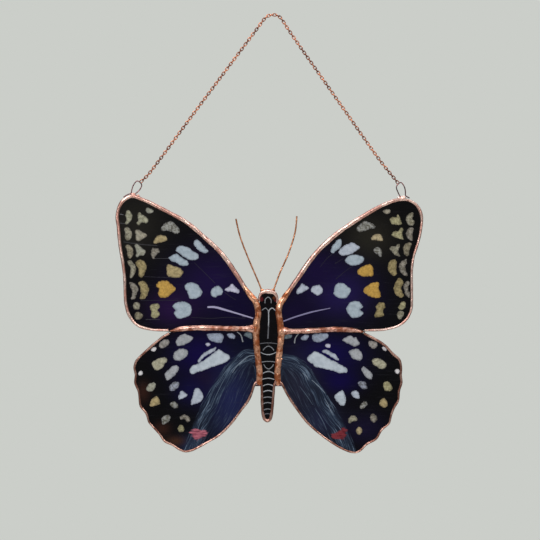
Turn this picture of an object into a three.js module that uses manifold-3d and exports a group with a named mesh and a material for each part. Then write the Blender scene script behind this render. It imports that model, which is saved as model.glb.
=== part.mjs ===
// A butterfly suncatcher of painted glass panes, edged and joined with copper-coated solder.
// It hangs by a fine chain. Millimetres, +Z up, the painted front looks along -Y, and the
// origin is the point where the bend of the chain rests on its nail.

import * as THREE from "three";
import { mergeVertices } from "three/addons/utils/BufferGeometryUtils.js";
import Module from "manifold-3d";

const wasm = await Module();
wasm.setup();

// Driving dimensions
const GLASS_THICKNESS = 3.0;
const RIM_THICKNESS = 4.4;
const RIM_WALL = 0.9;
const RIM_CHAMFER = 0.5;
const GAP = 0.25;
const WING_SEAM_WIDTH = 3.6;
const BODY_SEAM_WIDTH = 4.0;
const SEAM_RISE = 1.5;
const SEAM_WEB = 0.8;
const SEAM_SHOULDER = 0.45;
const SEAM_CROWN_DROP = 0.3;
const GROOVE_SPARE = 0.3;
const ANTENNA_WIRE = 0.9;
const LOOP_WIRE = 0.8;
const LOOP_SOLDER_RADIUS = 1.7;
const BRACE_WIRE = 1.2;
const BRACE_HALF_LENGTH = 12;
const BRACE_HEIGHT = -38.2;
const CHAIN_WIDTH = 2.3;

// How finely each curve is drawn
const SEAM_STEPS = 12;
const FOREWING_STEPS = 36;
const HINDWING_STEPS = 47;
const HEAD_STEPS = 10;
const ABDOMEN_STEPS = 16;
const ANTENNA_STEPS = 10;
const LOOP_STEPS = 14;
const CHAIN_STEPS = 56;
const WIRE_SIDES = 8;
const BRACE_SIDES = 10;
const DROP_SEGMENTS = [10, 6];

// How far inwards from its edge a rim's own room is cleared of wire
const HEAD_ROOM = 4;
const WING_ROOM = 5;

// The butterfly hangs a little left of the nail. Its own centre is where the wing seams
// meet the body, and every outline below is measured from there as [right, up].
const BUTTERFLY_PLACE = [-3.2, 0, -201.6];

// Solder seams: down each side of the body, and from the body out between the wings
const bodySeams = {
  left: [[-6.2, 18.4], [-6.3, 14], [-6.5, 9], [-7.5, 2], [-7.9, -3], [-7.5, -10], [-6.9, -17],
    [-6.1, -24], [-5.5, -30], [-5.6, -36.4]],
  right: [[6.2, 17.2], [6.3, 14], [6.8, 9], [8, 2], [8.6, -3], [8.2, -10], [7.3, -17],
    [6.6, -24], [6.1, -30], [6.3, -36.4]],
};
const wingSeams = {
  left: [[-7.8, -1.3], [-24, -1.4], [-41, -1], [-54, -1.2], [-65, -3]],
  right: [[8.6, -2.2], [16, -2.4], [28, -1.9], [44, -1], [54, -1.6], [63.1, -3.1]],
};

// Free edges, each with the pane on the left of its direction, and how far the rim reaches
// over the face of the pane, spread evenly from the start of the edge to its end
const forewings = {
  left: {
    edge: [[-6.2, 16.6], [-7.9, 18.2], [-10.9, 21.8], [-19.3, 35.2], [-29.1, 48.7], [-41, 60],
      [-52.5, 69.5], [-66.8, 77.3], [-80.9, 84], [-88.4, 86.2], [-93.8, 83.9], [-97.7, 78.8],
      [-99.2, 72.3], [-98.4, 64.4], [-97.3, 52.5], [-95.7, 43.1], [-94.4, 32.8], [-94, 21.5],
      [-93.4, 14.2], [-91.1, 7], [-86, 0.7], [-76.5, -2.6], [-64.8, -3.1]],
    covers: [2.9, 2.7, 2.4, 1.9, 1.8, 1.7, 1.6],
  },
  right: {
    edge: [[62.6, -3.1], [76.4, -2.5], [85.3, 0.2], [90.9, 4.8], [93.8, 11.1], [94.3, 17.6],
      [94.2, 28.1], [94.4, 38.6], [95.5, 45.7], [98.1, 53.9], [100.2, 62.7], [100.7, 71.8],
      [97.9, 78.9], [92.2, 83.1], [84.8, 83.9], [74, 80.3], [61.8, 73.8], [48.9, 65.6],
      [39.9, 58.7], [28.9, 47.9], [20.9, 36.9], [13.5, 26], [8.4, 18.2], [6.3, 15.6]],
    covers: [1.6, 1.7, 1.8, 1.9, 2.4, 2.9, 3],
  },
};
const hindwings = {
  left: {
    edge: [[-64.6, -3.4], [-69.9, -6.6], [-77.9, -13.3], [-86, -21.4], [-87.5, -26.2], [-86.7, -31.3],
      [-87.1, -36.3], [-84.9, -42], [-84.2, -47.2], [-83.5, -51.6], [-79.8, -56.4], [-77.9, -62.2],
      [-74.1, -66.6], [-70.9, -70.3], [-67.4, -74.8], [-62.1, -77.4], [-57.7, -80.3], [-53.7, -81.6],
      [-49, -80.7], [-40.3, -76.3], [-31.3, -70.9], [-23.8, -63.7], [-18, -56.2], [-12.6, -49],
      [-9.8, -43.1], [-7.5, -36.9], [-5.6, -36.2]],
    covers: [1.5, 1.4, 1.4, 1.4, 1.5],
  },
  right: {
    edge: [[6.2, -36.2], [7.8, -36.8], [11, -43], [17.4, -52.9], [24.5, -62.2], [33, -70], [41.3, -76],
      [50.2, -80.8], [56.3, -82.3], [59.8, -81.2], [64.8, -76.5], [70.5, -73.4], [74.3, -67.4],
      [79.2, -63], [80.8, -57.2], [82.6, -52.7], [85.3, -47.8], [85.8, -41.9], [87.4, -36.2],
      [87, -31.5], [87.2, -25.7], [86, -20.7], [82.2, -17.3], [76.2, -11.1], [68.1, -6.1],
      [62.6, -3.4]],
    covers: [1.5, 1.4, 1.4, 1.4, 1.5],
  },
};
const head = {
  edge: [[6.6, 15.6], [6.8, 19.2], [4.9, 22.9], [0.1, 24.9], [-4.8, 23.2], [-6.6, 19.4],
    [-6.4, 16.6]],
  covers: [2.2, 3.2, 2.2],
};
const abdomen = {
  edge: [[-5.5, -35], [-5.1, -38.5], [-5, -42.3], [-4.9, -50], [-4.3, -57.5], [-2.9, -60.9],
    [-0.4, -62.2], [2, -60.8], [3.1, -57.5], [4, -50], [4.6, -42.3], [4.9, -38.5], [6.1, -35]],
  covers: [1.4, 1.4],
};

const antennae = {
  left: [[-20.9, 70.3], [-20, 65.9], [-18.1, 58.5], [-13, 44.9], [-6.7, 30.2], [-3.8, 23]],
  right: [[18.7, 72], [18.3, 66.7], [17.4, 60.8], [13.5, 48.4], [7.5, 34.6], [3.2, 23]],
};
const loops = {
  left: [[-88.4, 85], [-88.9, 88.6], [-87.7, 92.2], [-85, 94.9], [-82.2, 92.4], [-83, 89.2],
    [-86.6, 85.6]],
  right: [[86.9, 83.2], [84.4, 87.6], [83.5, 91.3], [86.2, 93.9], [88.6, 91], [89.3, 87.4],
    [88.3, 83.4]],
};
const loopSolder = { left: [-87.6, 85.9], right: [87.6, 83.9] };

// The chain's centre line from the left loop over the nail to the right loop, from the origin
const chainRoute = [[-85.4, -106.8], [-81.4, -102.9], [-75.6, -95.5], [-67.8, -85], [-60, -74.3],
  [-45, -54.1], [-30, -34], [-15, -14], [-9.4, -6.5], [-6.8, -2.9], [-4.6, -0.4], [-2.2, 0.9],
  [0.3, 1.2], [2.8, 0.8], [5, -0.8], [6.9, -3.4], [9, -6.8], [15.7, -16.7], [31.5, -39.3],
  [47.3, -61.9], [63.1, -84.5], [68.7, -92.3], [74.6, -99.9], [80.9, -107.6]];

const violetGlass = new THREE.MeshStandardMaterial({ color: "#1c1236", roughness: 0.12, metalness: 0 });
const blackGlass = new THREE.MeshStandardMaterial({ color: "#0d0d10", roughness: 0.12, metalness: 0 });
const copperSolder = new THREE.MeshStandardMaterial({ color: "#bd7d60", roughness: 0.38, metalness: 1 });
const copperWire = new THREE.MeshStandardMaterial({ color: "#b4714e", roughness: 0.4, metalness: 1 });

const butterfly = new THREE.Group();
butterfly.position.set(...BUTTERFLY_PLACE);
const suncatcher = new THREE.Group();
suncatcher.add(butterfly);

function addPiece(parent, name, geometry, material) {
  const mesh = new THREE.Mesh(geometry, material);
  mesh.name = name;
  parent.add(mesh);
}

// A closed solid for cutting and joining
function solidOf(geometry) {
  const bare = geometry.clone();
  bare.deleteAttribute("normal");
  bare.deleteAttribute("uv");
  const merged = mergeVertices(bare, 1e-4);
  return new wasm.Manifold(new wasm.Mesh({
    numProp: 3,
    vertProperties: new Float32Array(merged.attributes.position.array),
    triVerts: new Uint32Array(merged.index.array),
  }));
}

function geometryOf(solid) {
  const mesh = solid.getMesh();
  const geometry = new THREE.BufferGeometry();
  geometry.setAttribute("position", new THREE.BufferAttribute(mesh.vertProperties, 3));
  geometry.setIndex(new THREE.BufferAttribute(mesh.triVerts, 1));
  geometry.computeVertexNormals();
  return geometry;
}

function cut(geometry, cutters) {
  const solid = cutters.reduce((rest, cutter) => rest.subtract(solidOf(cutter)), solidOf(geometry));
  return geometryOf(solid);
}

// A smooth curve through [right, up] points, as evenly spaced points
function curveThrough(points, steps) {
  const places = points.map(([right, up]) => new THREE.Vector3(right, up, 0));
  const curve = new THREE.CatmullRomCurve3(places, false, "centripetal");
  return curve.getSpacedPoints(steps).map((point) => new THREE.Vector2(point.x, point.y));
}

// The same curve moved to the left of its direction, by amounts spread evenly along it
function offset(points, amounts) {
  const last = points.length - 1;
  return points.map((point, index) => {
    const along = points[Math.min(index + 1, last)].clone().sub(points[Math.max(index - 1, 0)]).normalize();
    const place = (index / last) * (amounts.length - 1);
    const stretch = Math.min(Math.floor(place), amounts.length - 2);
    const amount = THREE.MathUtils.lerp(amounts[stretch], amounts[stretch + 1], place - stretch);
    return new THREE.Vector2(point.x - along.y * amount, point.y + along.x * amount);
  });
}

// A flat outline given a thickness, centred on the plane of the wings
function plate(outline, thickness, chamfer = 0) {
  const geometry = new THREE.ExtrudeGeometry(new THREE.Shape(outline), {
    depth: thickness - 2 * chamfer,
    bevelEnabled: chamfer > 0,
    bevelThickness: chamfer,
    bevelSize: chamfer,
    bevelOffset: -chamfer,
    bevelSegments: 1,
  });
  geometry.translate(0, 0, chamfer - thickness / 2);
  geometry.rotateX(Math.PI / 2);
  return geometry;
}

// The strip between two offsets of one curve
function band(points, nearAmounts, farAmounts, thickness, chamfer = 0) {
  return plate([...offset(points, nearAmounts), ...offset(points, farAmounts).reverse()], thickness, chamfer);
}

// A constant section, [across the glass, in its plane], drawn along a curve in that plane
function sweep(points, section, steps) {
  const places = points.map(([right, up]) => new THREE.Vector3(right, 0, up));
  const extrudePath = new THREE.CatmullRomCurve3(places, false, "centripetal");
  return new THREE.ExtrudeGeometry(new THREE.Shape(section), { steps, bevelEnabled: false, extrudePath });
}

function roundSection(diameter) {
  return Array.from({ length: WIRE_SIDES }, (unused, side) => {
    const angle = (side / WIRE_SIDES) * 2 * Math.PI;
    return new THREE.Vector2(Math.cos(angle), Math.sin(angle)).multiplyScalar(diameter / 2);
  });
}

// A domed bead over both faces of the glass, joined by a web between the panes
function seamSection(width) {
  const face = GLASS_THICKNESS / 2 + GAP;
  const top = GLASS_THICKNESS / 2 + SEAM_RISE;
  const shoulder = face + SEAM_SHOULDER;
  const frontBead = [
    [face, SEAM_WEB / 2],
    [face, width / 2],
    [shoulder, width / 2],
    [top - SEAM_CROWN_DROP, width / 4],
    [top, 0],
    [top - SEAM_CROWN_DROP, -width / 4],
    [shoulder, -width / 2],
    [face, -width / 2],
    [face, -SEAM_WEB / 2],
  ];
  const backBead = frontBead.map(([across, along]) => [-across, -along]);
  return [...frontBead, ...backBead].map(([across, along]) => new THREE.Vector2(across, along));
}

// The room that a seam needs, past both its ends too: its web between the panes, and its
// whole width elsewhere
function seamRoom(points, width, thickness) {
  const reach = width / 2 + GAP;
  const curve = curveThrough(points, SEAM_STEPS);
  const beyond = (end, before) => end.clone().add(end.clone().sub(before).setLength(GAP));
  const first = beyond(curve[0], curve[1]);
  const last = beyond(curve[curve.length - 1], curve[curve.length - 2]);
  return band([first, ...curve, last], [-reach, -reach], [reach, reach], thickness);
}

const SIDES = ["left", "right"];
const fullDepth = GLASS_THICKNESS + 2 * SEAM_RISE + 2 * GAP;
const webRooms = [];
const bodySeamRooms = [];
const wingSeamRooms = [];
for (const side of SIDES) {
  webRooms.push(seamRoom(bodySeams[side], SEAM_WEB, fullDepth));
  webRooms.push(seamRoom(wingSeams[side], SEAM_WEB, fullDepth));
  bodySeamRooms.push(seamRoom(bodySeams[side], BODY_SEAM_WIDTH, fullDepth));
  wingSeamRooms.push(seamRoom(wingSeams[side], WING_SEAM_WIDTH, fullDepth));
}

// A C-shaped rim over the edge of a pane and a little way over both its faces
function edging({ edge, covers }, steps) {
  const curve = curveThrough(edge, steps);
  const rim = band(curve, [0, 0], covers, RIM_THICKNESS, RIM_CHAMFER);
  const grooveStart = RIM_WALL - GAP;
  const grooveEnd = Math.max(...covers) + GROOVE_SPARE;
  const groove = band(curve, [grooveStart, grooveStart], [grooveEnd, grooveEnd], GLASS_THICKNESS + 2 * GAP);
  return cut(rim, [groove, ...bodySeamRooms, ...wingSeamRooms]);
}

// A pane reaches from the wall of its rim to the webs of the seams on its other sides
function pane(edges, seamMiddles) {
  const outline = edges.flatMap(({ edge, steps }, index) => {
    const rimSide = offset(curveThrough(edge, steps), [RIM_WALL, RIM_WALL]);
    return [...rimSide, ...seamMiddles[index]];
  });
  return cut(plate(outline, GLASS_THICKNESS), webRooms);
}

// The points of the body seam that lie between two heights, from the higher down
function bodySeamMiddle(side, high, low) {
  return curveThrough(bodySeams[side], SEAM_STEPS).filter((point) => point.y < high && point.y > low);
}

function wingSeamMiddle(side, reach) {
  return curveThrough(wingSeams[side], SEAM_STEPS).filter((point) => Math.abs(point.x) < reach);
}

// The forewing's seams run from the top of the body seam down to the wing seam and out
function addForewing(side) {
  const { edge } = forewings[side];
  const [start, end] = [edge[0], edge[edge.length - 1]];
  const [bodyEnd, notchEnd] = side === "left" ? [start, end] : [end, start];
  const root = wingSeams[side][0][1];
  const down = bodySeamMiddle(side, bodyEnd[1] - 1, root + 1);
  const middle = [...down, ...wingSeamMiddle(side, Math.abs(notchEnd[0]))];
  const ordered = side === "left" ? middle.reverse() : middle;
  const glass = pane([{ edge, steps: FOREWING_STEPS }], [ordered]);
  addPiece(butterfly, `forewing_glass_${side}`, glass, violetGlass);
  addPiece(butterfly, `forewing_edging_${side}`, edging(forewings[side], FOREWING_STEPS), copperSolder);
}

// The hindwing's seams run from the foot of the body seam up to the wing seam and out
function addHindwing(side) {
  const { edge } = hindwings[side];
  const [start, end] = [edge[0], edge[edge.length - 1]];
  const [bodyEnd, notchEnd] = side === "left" ? [end, start] : [start, end];
  const root = wingSeams[side][0][1];
  const up = bodySeamMiddle(side, root - 1, bodyEnd[1] + 1).reverse();
  const middle = [...up, ...wingSeamMiddle(side, Math.abs(notchEnd[0]))];
  const ordered = side === "left" ? middle : middle.reverse();
  const glass = pane([{ edge, steps: HINDWING_STEPS }], [ordered]);
  addPiece(butterfly, `hindwing_glass_${side}`, glass, violetGlass);
  addPiece(butterfly, `hindwing_edging_${side}`, edging(hindwings[side], HINDWING_STEPS), copperSolder);
}

// Head, thorax and abdomen are one pane of black glass
function addBody() {
  const high = head.edge[0][1] - 1;
  const low = abdomen.edge[0][1] + 1;
  const edges = [{ edge: head.edge, steps: HEAD_STEPS }, { edge: abdomen.edge, steps: ABDOMEN_STEPS }];
  const middles = [bodySeamMiddle("left", high, low), bodySeamMiddle("right", high, low).reverse()];
  addPiece(butterfly, "body_glass", pane(edges, middles), blackGlass);
  addPiece(butterfly, "head_edging", edging(head, HEAD_STEPS), copperSolder);
  addPiece(butterfly, "abdomen_edging", edging(abdomen, ABDOMEN_STEPS), copperSolder);
}

function addSeams(side) {
  const wingSeam = sweep(wingSeams[side], seamSection(WING_SEAM_WIDTH), SEAM_STEPS);
  const bodySeam = sweep(bodySeams[side], seamSection(BODY_SEAM_WIDTH), SEAM_STEPS);
  addPiece(butterfly, `wing_seam_${side}`, cut(wingSeam, bodySeamRooms), copperSolder);
  addPiece(butterfly, `body_seam_${side}`, bodySeam, copperSolder);
}

// The space that a rim takes, and everything inside it, with clearance
function rimRoom({ edge }, steps, inside) {
  const curve = curveThrough(edge, steps);
  return band(curve, [-GAP, -GAP], [inside, inside], RIM_THICKNESS + 2 * GAP);
}

function addAntenna(side) {
  const wire = sweep(antennae[side], roundSection(ANTENNA_WIRE), ANTENNA_STEPS);
  const room = rimRoom(head, HEAD_STEPS, HEAD_ROOM);
  addPiece(butterfly, `antenna_${side}`, cut(wire, [room]), copperWire);
}

// A teardrop of thin wire whose ends are caught in a drop of solder on the rim
function addHangingLoop(side) {
  const wire = sweep(loops[side], roundSection(LOOP_WIRE), LOOP_STEPS);
  const drop = new THREE.SphereGeometry(LOOP_SOLDER_RADIUS, ...DROP_SEGMENTS);
  drop.translate(loopSolder[side][0], 0, loopSolder[side][1]);
  const joined = geometryOf(solidOf(wire).add(solidOf(drop)));
  const room = rimRoom(forewings[side], FOREWING_STEPS, WING_ROOM);
  addPiece(butterfly, `hanging_loop_${side}`, cut(joined, [room]), copperWire);
}

// The brace lies across the back of the abdomen, between the inner tips of the hindwings
function addBrace() {
  const radius = BRACE_WIRE / 2;
  const wire = new THREE.CylinderGeometry(radius, radius, 2 * BRACE_HALF_LENGTH, BRACE_SIDES);
  wire.rotateZ(Math.PI / 2);
  wire.translate(0, (RIM_THICKNESS + BRACE_WIRE) / 2 + GAP, BRACE_HEIGHT);
  addPiece(butterfly, "brace_wire", wire, copperWire);
}

for (const side of SIDES) {
  addForewing(side);
  addHindwing(side);
  addSeams(side);
  addAntenna(side);
  addHangingLoop(side);
}
addBody();
addBrace();
addPiece(suncatcher, "chain", sweep(chainRoute, roundSection(CHAIN_WIDTH), CHAIN_STEPS), copperWire);

export default suncatcher;
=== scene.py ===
# A butterfly suncatcher of enamelled black glass in copper-coated solder, hanging by a fine chain.
# The outlines are millimetres, [right, up] from the point where the wing seams meet the body. Only
# the chain's are from the point that it hangs from, where the model has its origin.

import math

import bmesh
import bpy
import numpy as np
from mathutils import Matrix, Vector, noise


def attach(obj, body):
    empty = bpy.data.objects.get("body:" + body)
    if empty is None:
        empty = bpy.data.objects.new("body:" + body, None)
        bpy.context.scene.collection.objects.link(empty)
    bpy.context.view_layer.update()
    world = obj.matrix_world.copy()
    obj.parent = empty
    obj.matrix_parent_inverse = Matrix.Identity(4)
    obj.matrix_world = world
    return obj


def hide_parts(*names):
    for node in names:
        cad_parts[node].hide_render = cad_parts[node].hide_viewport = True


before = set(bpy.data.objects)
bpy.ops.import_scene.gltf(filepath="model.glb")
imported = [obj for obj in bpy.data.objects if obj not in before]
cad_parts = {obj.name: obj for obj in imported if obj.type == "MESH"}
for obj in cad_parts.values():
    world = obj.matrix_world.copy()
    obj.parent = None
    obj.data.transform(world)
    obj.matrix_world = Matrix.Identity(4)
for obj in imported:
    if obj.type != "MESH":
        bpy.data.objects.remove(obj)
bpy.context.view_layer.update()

# Driving dimensions in millimetres
MM = 0.001
BUTTERFLY_PLACE = (-3.2, 0.0, -201.6)
GLASS = 3.0
GLASS_WAVE = 0.05
GLASS_WAVE_LENGTH = 14.0
PANE_GRID = 0.5
BODY_GRID = 0.28
CORNER_CUT = 2.0
RIM_WALL = 0.9
RIM_HALF_THICKNESS = 2.15
LIP_SINK = 0.05
DROP_SHAPE = (1.15, 0.85, 1.0, 1.0)
WING_SEAM_WIDTH = 3.6
BODY_SEAM_WIDTH = 4.4
WING_SEAM_ENDS = (2.4, 2.4)
BODY_SEAM_ENDS = (6.0, 2.0)
SEAM_RISE = 1.4
SEAM_WEB = 0.8
WEB_GAP = 0.1
WEB_SIDE = SEAM_WEB / 2 + WEB_GAP
ANTENNA_WIRE = 1.1
ANTENNA_DROP_RISE = 0.7
ANTENNA_DROP = 1.25
LOOP_WIRE = 0.8
BRACE_WIRE = 1.2
BRACE_HALF_LENGTH = 12.0
BRACE_HEIGHT = -38.2
BRACE_GAP = 0.25
LINK_LENGTH = 3.3
LINK_WIDTH = 2.3
LINK_WIRE = 0.65
LINK_PITCH = 2.0

# How deep the lumps in a surface are, and how far apart
RIM_LUMPS = (0.22, 6.5)
SEAM_LUMPS = (0.42, 5.0)
ANTENNA_LUMPS = (0.08, 2.0)
LOOP_LUMPS = (0.06, 1.5)

# Tarnish and painted shade, which darken the metal: where they end on a rim's outer side and start by
# its glass, as shares of the cover, and where they start on a seam, as a share of the width from the
# middle, and how fast they grow there
RIM_TARNISH_AND_PAINTED_SHADE_OUTSIDE = 0.38
RIM_TARNISH_AND_PAINTED_SHADE_INSIDE = 0.8
SEAM_TARNISH_AND_PAINTED_SHADE = 0.42
SEAM_TARNISH_AND_PAINTED_SHADE_GROWTH = 9

# How square a bead's dome is: 2 is an arc
RIM_DOME = 2.3
SEAM_DOME = 2.1

# How finely curves are drawn
RIM_STEP = 0.9
SEAM_STEP = 0.7
OUTLINE_STEP = 1.0
BODY_OUTLINE_STEP = 0.7
SEAM_SIDE_STEP = 2.0
ANTENNA_STEP = 0.8
LOOP_STEP = 0.5
LINK_SIDES = 6
LINK_STEPS = 12
SPOT_STEP = 0.5
LINE_STEP = 0.6

# Which way each side lies from the middle
SIDE_SIGN = {"left": -1, "right": 1}

# The paint: its black ground, how far aside a line reaches, the margin round a marking's outline,
# the share of its brightness that every enamel keeps, a painted shade over all the enamel set against
# the lamps' strength, and two distances past every marking
GROUND = "#060608"
LINE_REACH = 1.0
OUTLINE_MARGIN = 2.0
ENAMEL_PAINTED_SHADE = 0.64
FAR = 9.0
OUT_OF_REACH = 9999.0

# Each short stretch of a line runs on by a share of its own length, a little more at the two ends
LINE_OVERLAP = 0.4
LINE_CAP = 0.7

# Hairs follow the line they start from, and have turned straight a little further in
HAIRS_FOLLOW = 4.0
HAIRS_TURN = 6.0
HAIRS_PAST_FOOT = 20.0

# The mica's flakes are really a tenth of this, and are drawn as coarse as they need to show
FLAKE_SIZE = 1.7

# The camera's frame: 540 pixels of 0.65 mm, its middle a little left of the chain's bend
FRAME_WIDTH = 351.0
FRAME_MIDDLE = (-1.95, -164.6)
LENS = 85.0
SENSOR = 36.0

# The room, in metres: where the lights point, and the floor's half width and depth
LIGHTS_POINT_AT = (0, 0, -0.15)
FLOOR_HALF_WIDTH = 2.2
FLOOR_DEPTH = 1.1

# The chain's centre line from the left loop up over its bend and down to the right loop
CHAIN_ROUTE = [[-85.4, -106.8], [-81.4, -102.9], [-75.6, -95.5], [-67.8, -85], [-60, -74.3],
    [-45, -54.1], [-30, -34], [-15, -14], [-9.4, -6.5], [-6.8, -2.9], [-4.6, -0.4], [-2.2, 0.9],
    [0.3, 1.2], [2.8, 0.8], [5, -0.8], [6.9, -3.4], [9, -6.8], [15.7, -16.7], [31.5, -39.3],
    [47.3, -61.9], [63.1, -84.5], [68.7, -92.3], [74.6, -99.9], [80.9, -107.6]]

# Solder seams: down each side of the body, and from the body out between the wings
BODY_SEAMS = {
    "left": [[-6.2, 18.4], [-6.3, 14], [-6.5, 9], [-7.5, 2], [-7.9, -3], [-7.5, -10], [-6.9, -17],
        [-6.1, -24], [-5.5, -30], [-5.9, -37.9]],
    "right": [[6.2, 17.2], [6.3, 14], [6.8, 9], [8, 2], [8.6, -3], [8.2, -10], [7.3, -17],
        [6.6, -24], [6.1, -30], [6.5, -38.1]],
}
WING_SEAMS = {
    "left": [[-7.8, -1.0], [-24, -1.0], [-41, -0.6], [-54, -0.9], [-65, -2.9]],
    "right": [[8.6, -2.4], [16, -2.8], [28, -2.4], [44, -1.5], [54, -2.0], [63.1, -3.3]],
}

# Free edges, each with its pane on the left of its direction, and how far the rim covers the face
FOREWINGS = {
    "left": {
        "edge": [[-6.2, 16.6], [-7.9, 18.2], [-10.9, 21.8], [-19.3, 35.2], [-29.1, 48.7], [-41, 60],
            [-52.5, 69.5], [-66.8, 77.3], [-80.9, 84], [-88.4, 86.2], [-93.8, 83.9], [-97.7, 78.8],
            [-99.2, 72.3], [-98.4, 64.4], [-97.3, 52.5], [-95.7, 43.1], [-94.4, 32.8], [-94, 21.5],
            [-93.4, 14.2], [-91.1, 7], [-86, 0.7], [-76.5, -2.6], [-64.8, -3.1]],
        "covers": [3.0, 3.1, 2.9, 2.5, 2.3, 2.2, 1.9],
    },
    "right": {
        "edge": [[62.6, -3.1], [76.4, -2.5], [85.3, 0.2], [90.9, 4.8], [93.8, 11.1], [94.3, 17.6],
            [94.2, 28.1], [94.4, 38.6], [95.5, 45.7], [98.1, 53.9], [100.2, 62.7], [100.7, 71.8],
            [97.9, 78.9], [92.2, 83.1], [84.8, 83.9], [74, 80.3], [61.8, 73.8], [48.9, 65.6],
            [39.9, 58.7], [28.9, 47.9], [20.9, 36.9], [13.5, 26], [8.4, 18.2], [6.3, 15.6]],
        "covers": [1.8, 1.9, 1.9, 2.2, 3.0, 3.4, 3.2],
    },
}
HINDWINGS = {
    "left": {
        "edge": [[-64.6, -3.4], [-69.9, -6.6], [-77.9, -13.3], [-86, -21.4], [-87.5, -26.2],
            [-86.7, -31.3], [-87.1, -36.3], [-84.9, -42], [-84.2, -47.2], [-83.5, -51.6],
            [-79.8, -56.4], [-77.9, -62.2], [-74.1, -66.6], [-70.9, -70.3], [-67.4, -74.8],
            [-62.1, -77.4], [-57.7, -80.3], [-53.7, -81.6], [-49, -80.7], [-40.3, -76.3],
            [-31.3, -70.9], [-23.8, -63.7], [-18, -56.2], [-12.6, -49], [-9.8, -43.1],
            [-7.5, -36.9], [-5.6, -36.2]],
        "covers": [1.7, 1.65, 1.6, 1.75, 1.8],
    },
    "right": {
        "edge": [[6.2, -36.2], [7.8, -36.8], [11, -43], [17.4, -52.9], [24.5, -62.2], [33, -70],
            [41.3, -76], [50.2, -80.8], [56.3, -82.3], [59.8, -81.2], [64.8, -76.5], [70.5, -73.4],
            [74.3, -67.4], [79.2, -63], [80.8, -57.2], [82.6, -52.7], [85.3, -47.8], [85.8, -41.9],
            [87.4, -36.2], [87, -31.5], [87.2, -25.7], [86, -20.7], [82.2, -17.3], [76.2, -11.1],
            [68.1, -6.1], [62.6, -3.4]],
        "covers": [1.7, 1.65, 1.6, 1.75, 1.8],
    },
}
HEAD = {
    "edge": [[6.6, 15.6], [6.8, 19.2], [4.9, 22.9], [0.1, 24.9], [-4.8, 23.2], [-6.6, 19.4],
        [-6.4, 16.6]],
    "covers": [1.5, 2.2, 3.4, 2.2, 1.5],
}
ABDOMEN = {
    "edge": [[-5.5, -35], [-5.1, -38.5], [-5, -42.3], [-4.9, -50], [-4.3, -57.5], [-2.9, -60.9],
        [-0.4, -62.2], [2, -60.8], [3.1, -57.5], [4, -50], [4.6, -42.3], [4.9, -38.5], [6.1, -35]],
    "covers": [1.8, 2.0, 2.3, 2.0, 1.8],
}
ANTENNAE = {
    "left": [[-20.9, 70.3], [-20, 65.9], [-18.1, 58.5], [-13, 44.9], [-6.7, 30.2], [-3.8, 23]],
    "right": [[18.7, 72], [18.3, 66.7], [17.4, 60.8], [13.5, 48.4], [7.5, 34.6], [3.2, 23]],
}
LOOPS = {
    "left": [[-94, 84.4], [-91.4, 86], [-89.1, 87], [-88.6, 88.9], [-87.6, 92], [-85, 94.9],
        [-82.2, 92.5], [-83.2, 89.5], [-86.2, 86.5], [-87.3, 85]],
    "right": [[86.9, 83.2], [84.4, 87.6], [83.5, 91.3], [86.2, 93.9], [88.6, 91], [89.3, 87.4],
        [89.4, 85.4], [92, 83.7]],
}

# A bead beside the body starts on the forewing's rim, and bends down along the body
BEAD_HEADS = {
    "left": [[-16.4, 27.9], [-13.2, 22.9], [-10.6, 19.6], [-8.0, 16.4]],
    "right": [[15.2, 26.2], [12, 21.4], [9.8, 18.2], [7.9, 15.2]],
}

# Where solder pooled along a seam, or thinned out, as [right, up, reach, share wider]
WING_SEAM_POOLS = {
    "left": [[-9.5, -1.3, 2.8, 0.55], [-41, -1.1, 3.0, 0.12], [-65, -3, 6.0, -0.5]],
    "right": [[10.3, -2.2, 2.8, 0.55], [27, -2, 3.0, 0.1], [63.1, -3.1, 6.0, -0.5]],
}
BODY_SEAM_POOLS = {
    "left": [[-15, 25.8, 5.0, -0.35], [-7.8, -1.0, 3.0, 0.2]],
    "right": [[13.8, 24.2, 5.0, -0.35], [8.5, -2.4, 3.0, 0.2]],
}

# Loose drops of solder, as [right, towards the front, up, radius]
BODY_SEAM_DROPS = {
    "left": [[-6.9, 1.7, 17.3, 0.8]],
    "right": [[8.7, 1.6, -20.7, 0.75]],
}
LOOP_DROPS = {
    "left": [[-87.7, 0.0, 85.7, 1.8], [-84.6, 0.3, 85.0, 1.2]],
    "right": [[87.7, 0.0, 83.6, 1.8], [85.2, 0.3, 83.8, 1.1]],
}


# Curves and meshes

def smooth_curve(points, spacing, closed=False):
    """A smooth curve through [right, up] points, as evenly spaced points."""
    knots = np.array(points, float)
    if closed:
        knots = np.vstack([knots[-1], knots, knots[:2]])
    else:
        knots = np.vstack([2 * knots[0] - knots[1], knots, 2 * knots[-1] - knots[-2]])
    fine = []
    t = np.linspace(0, 1, 24, endpoint=False)[:, None]
    for p0, p1, p2, p3 in zip(knots, knots[1:], knots[2:], knots[3:]):
        d0, d1, d2 = (math.sqrt(np.linalg.norm(b - a)) for a, b in ((p0, p1), (p1, p2), (p2, p3)))
        start = ((p1 - p0) / d0 - (p2 - p0) / (d0 + d1) + (p2 - p1) / d1) * d1
        end = ((p2 - p1) / d1 - (p3 - p1) / (d1 + d2) + (p3 - p2) / d2) * d1
        fine.append(p1 + start * t + (3 * (p2 - p1) - 2 * start - end) * t ** 2
            + (2 * (p1 - p2) + start + end) * t ** 3)
    fine.append(knots[-2:-1])
    fine = np.vstack(fine)
    gone = np.concatenate([[0], np.cumsum(np.linalg.norm(np.diff(fine, axis=0), axis=1))])
    steps = max(4, round(gone[-1] / spacing))
    places = np.linspace(0, gone[-1], steps + 1)
    even = np.column_stack([np.interp(places, gone, fine[:, axis]) for axis in (0, 1)])
    return even[:-1] if closed else even


def arch(left, right, foot, rise):
    """Points of a low arch between two sides, its ends at one height."""
    steps = (-1, -0.6, 0, 0.6, 1)
    return [[(left + right) / 2 + (right - left) / 2 * s, foot + rise * (1 - s * s)] for s in steps]


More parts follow.
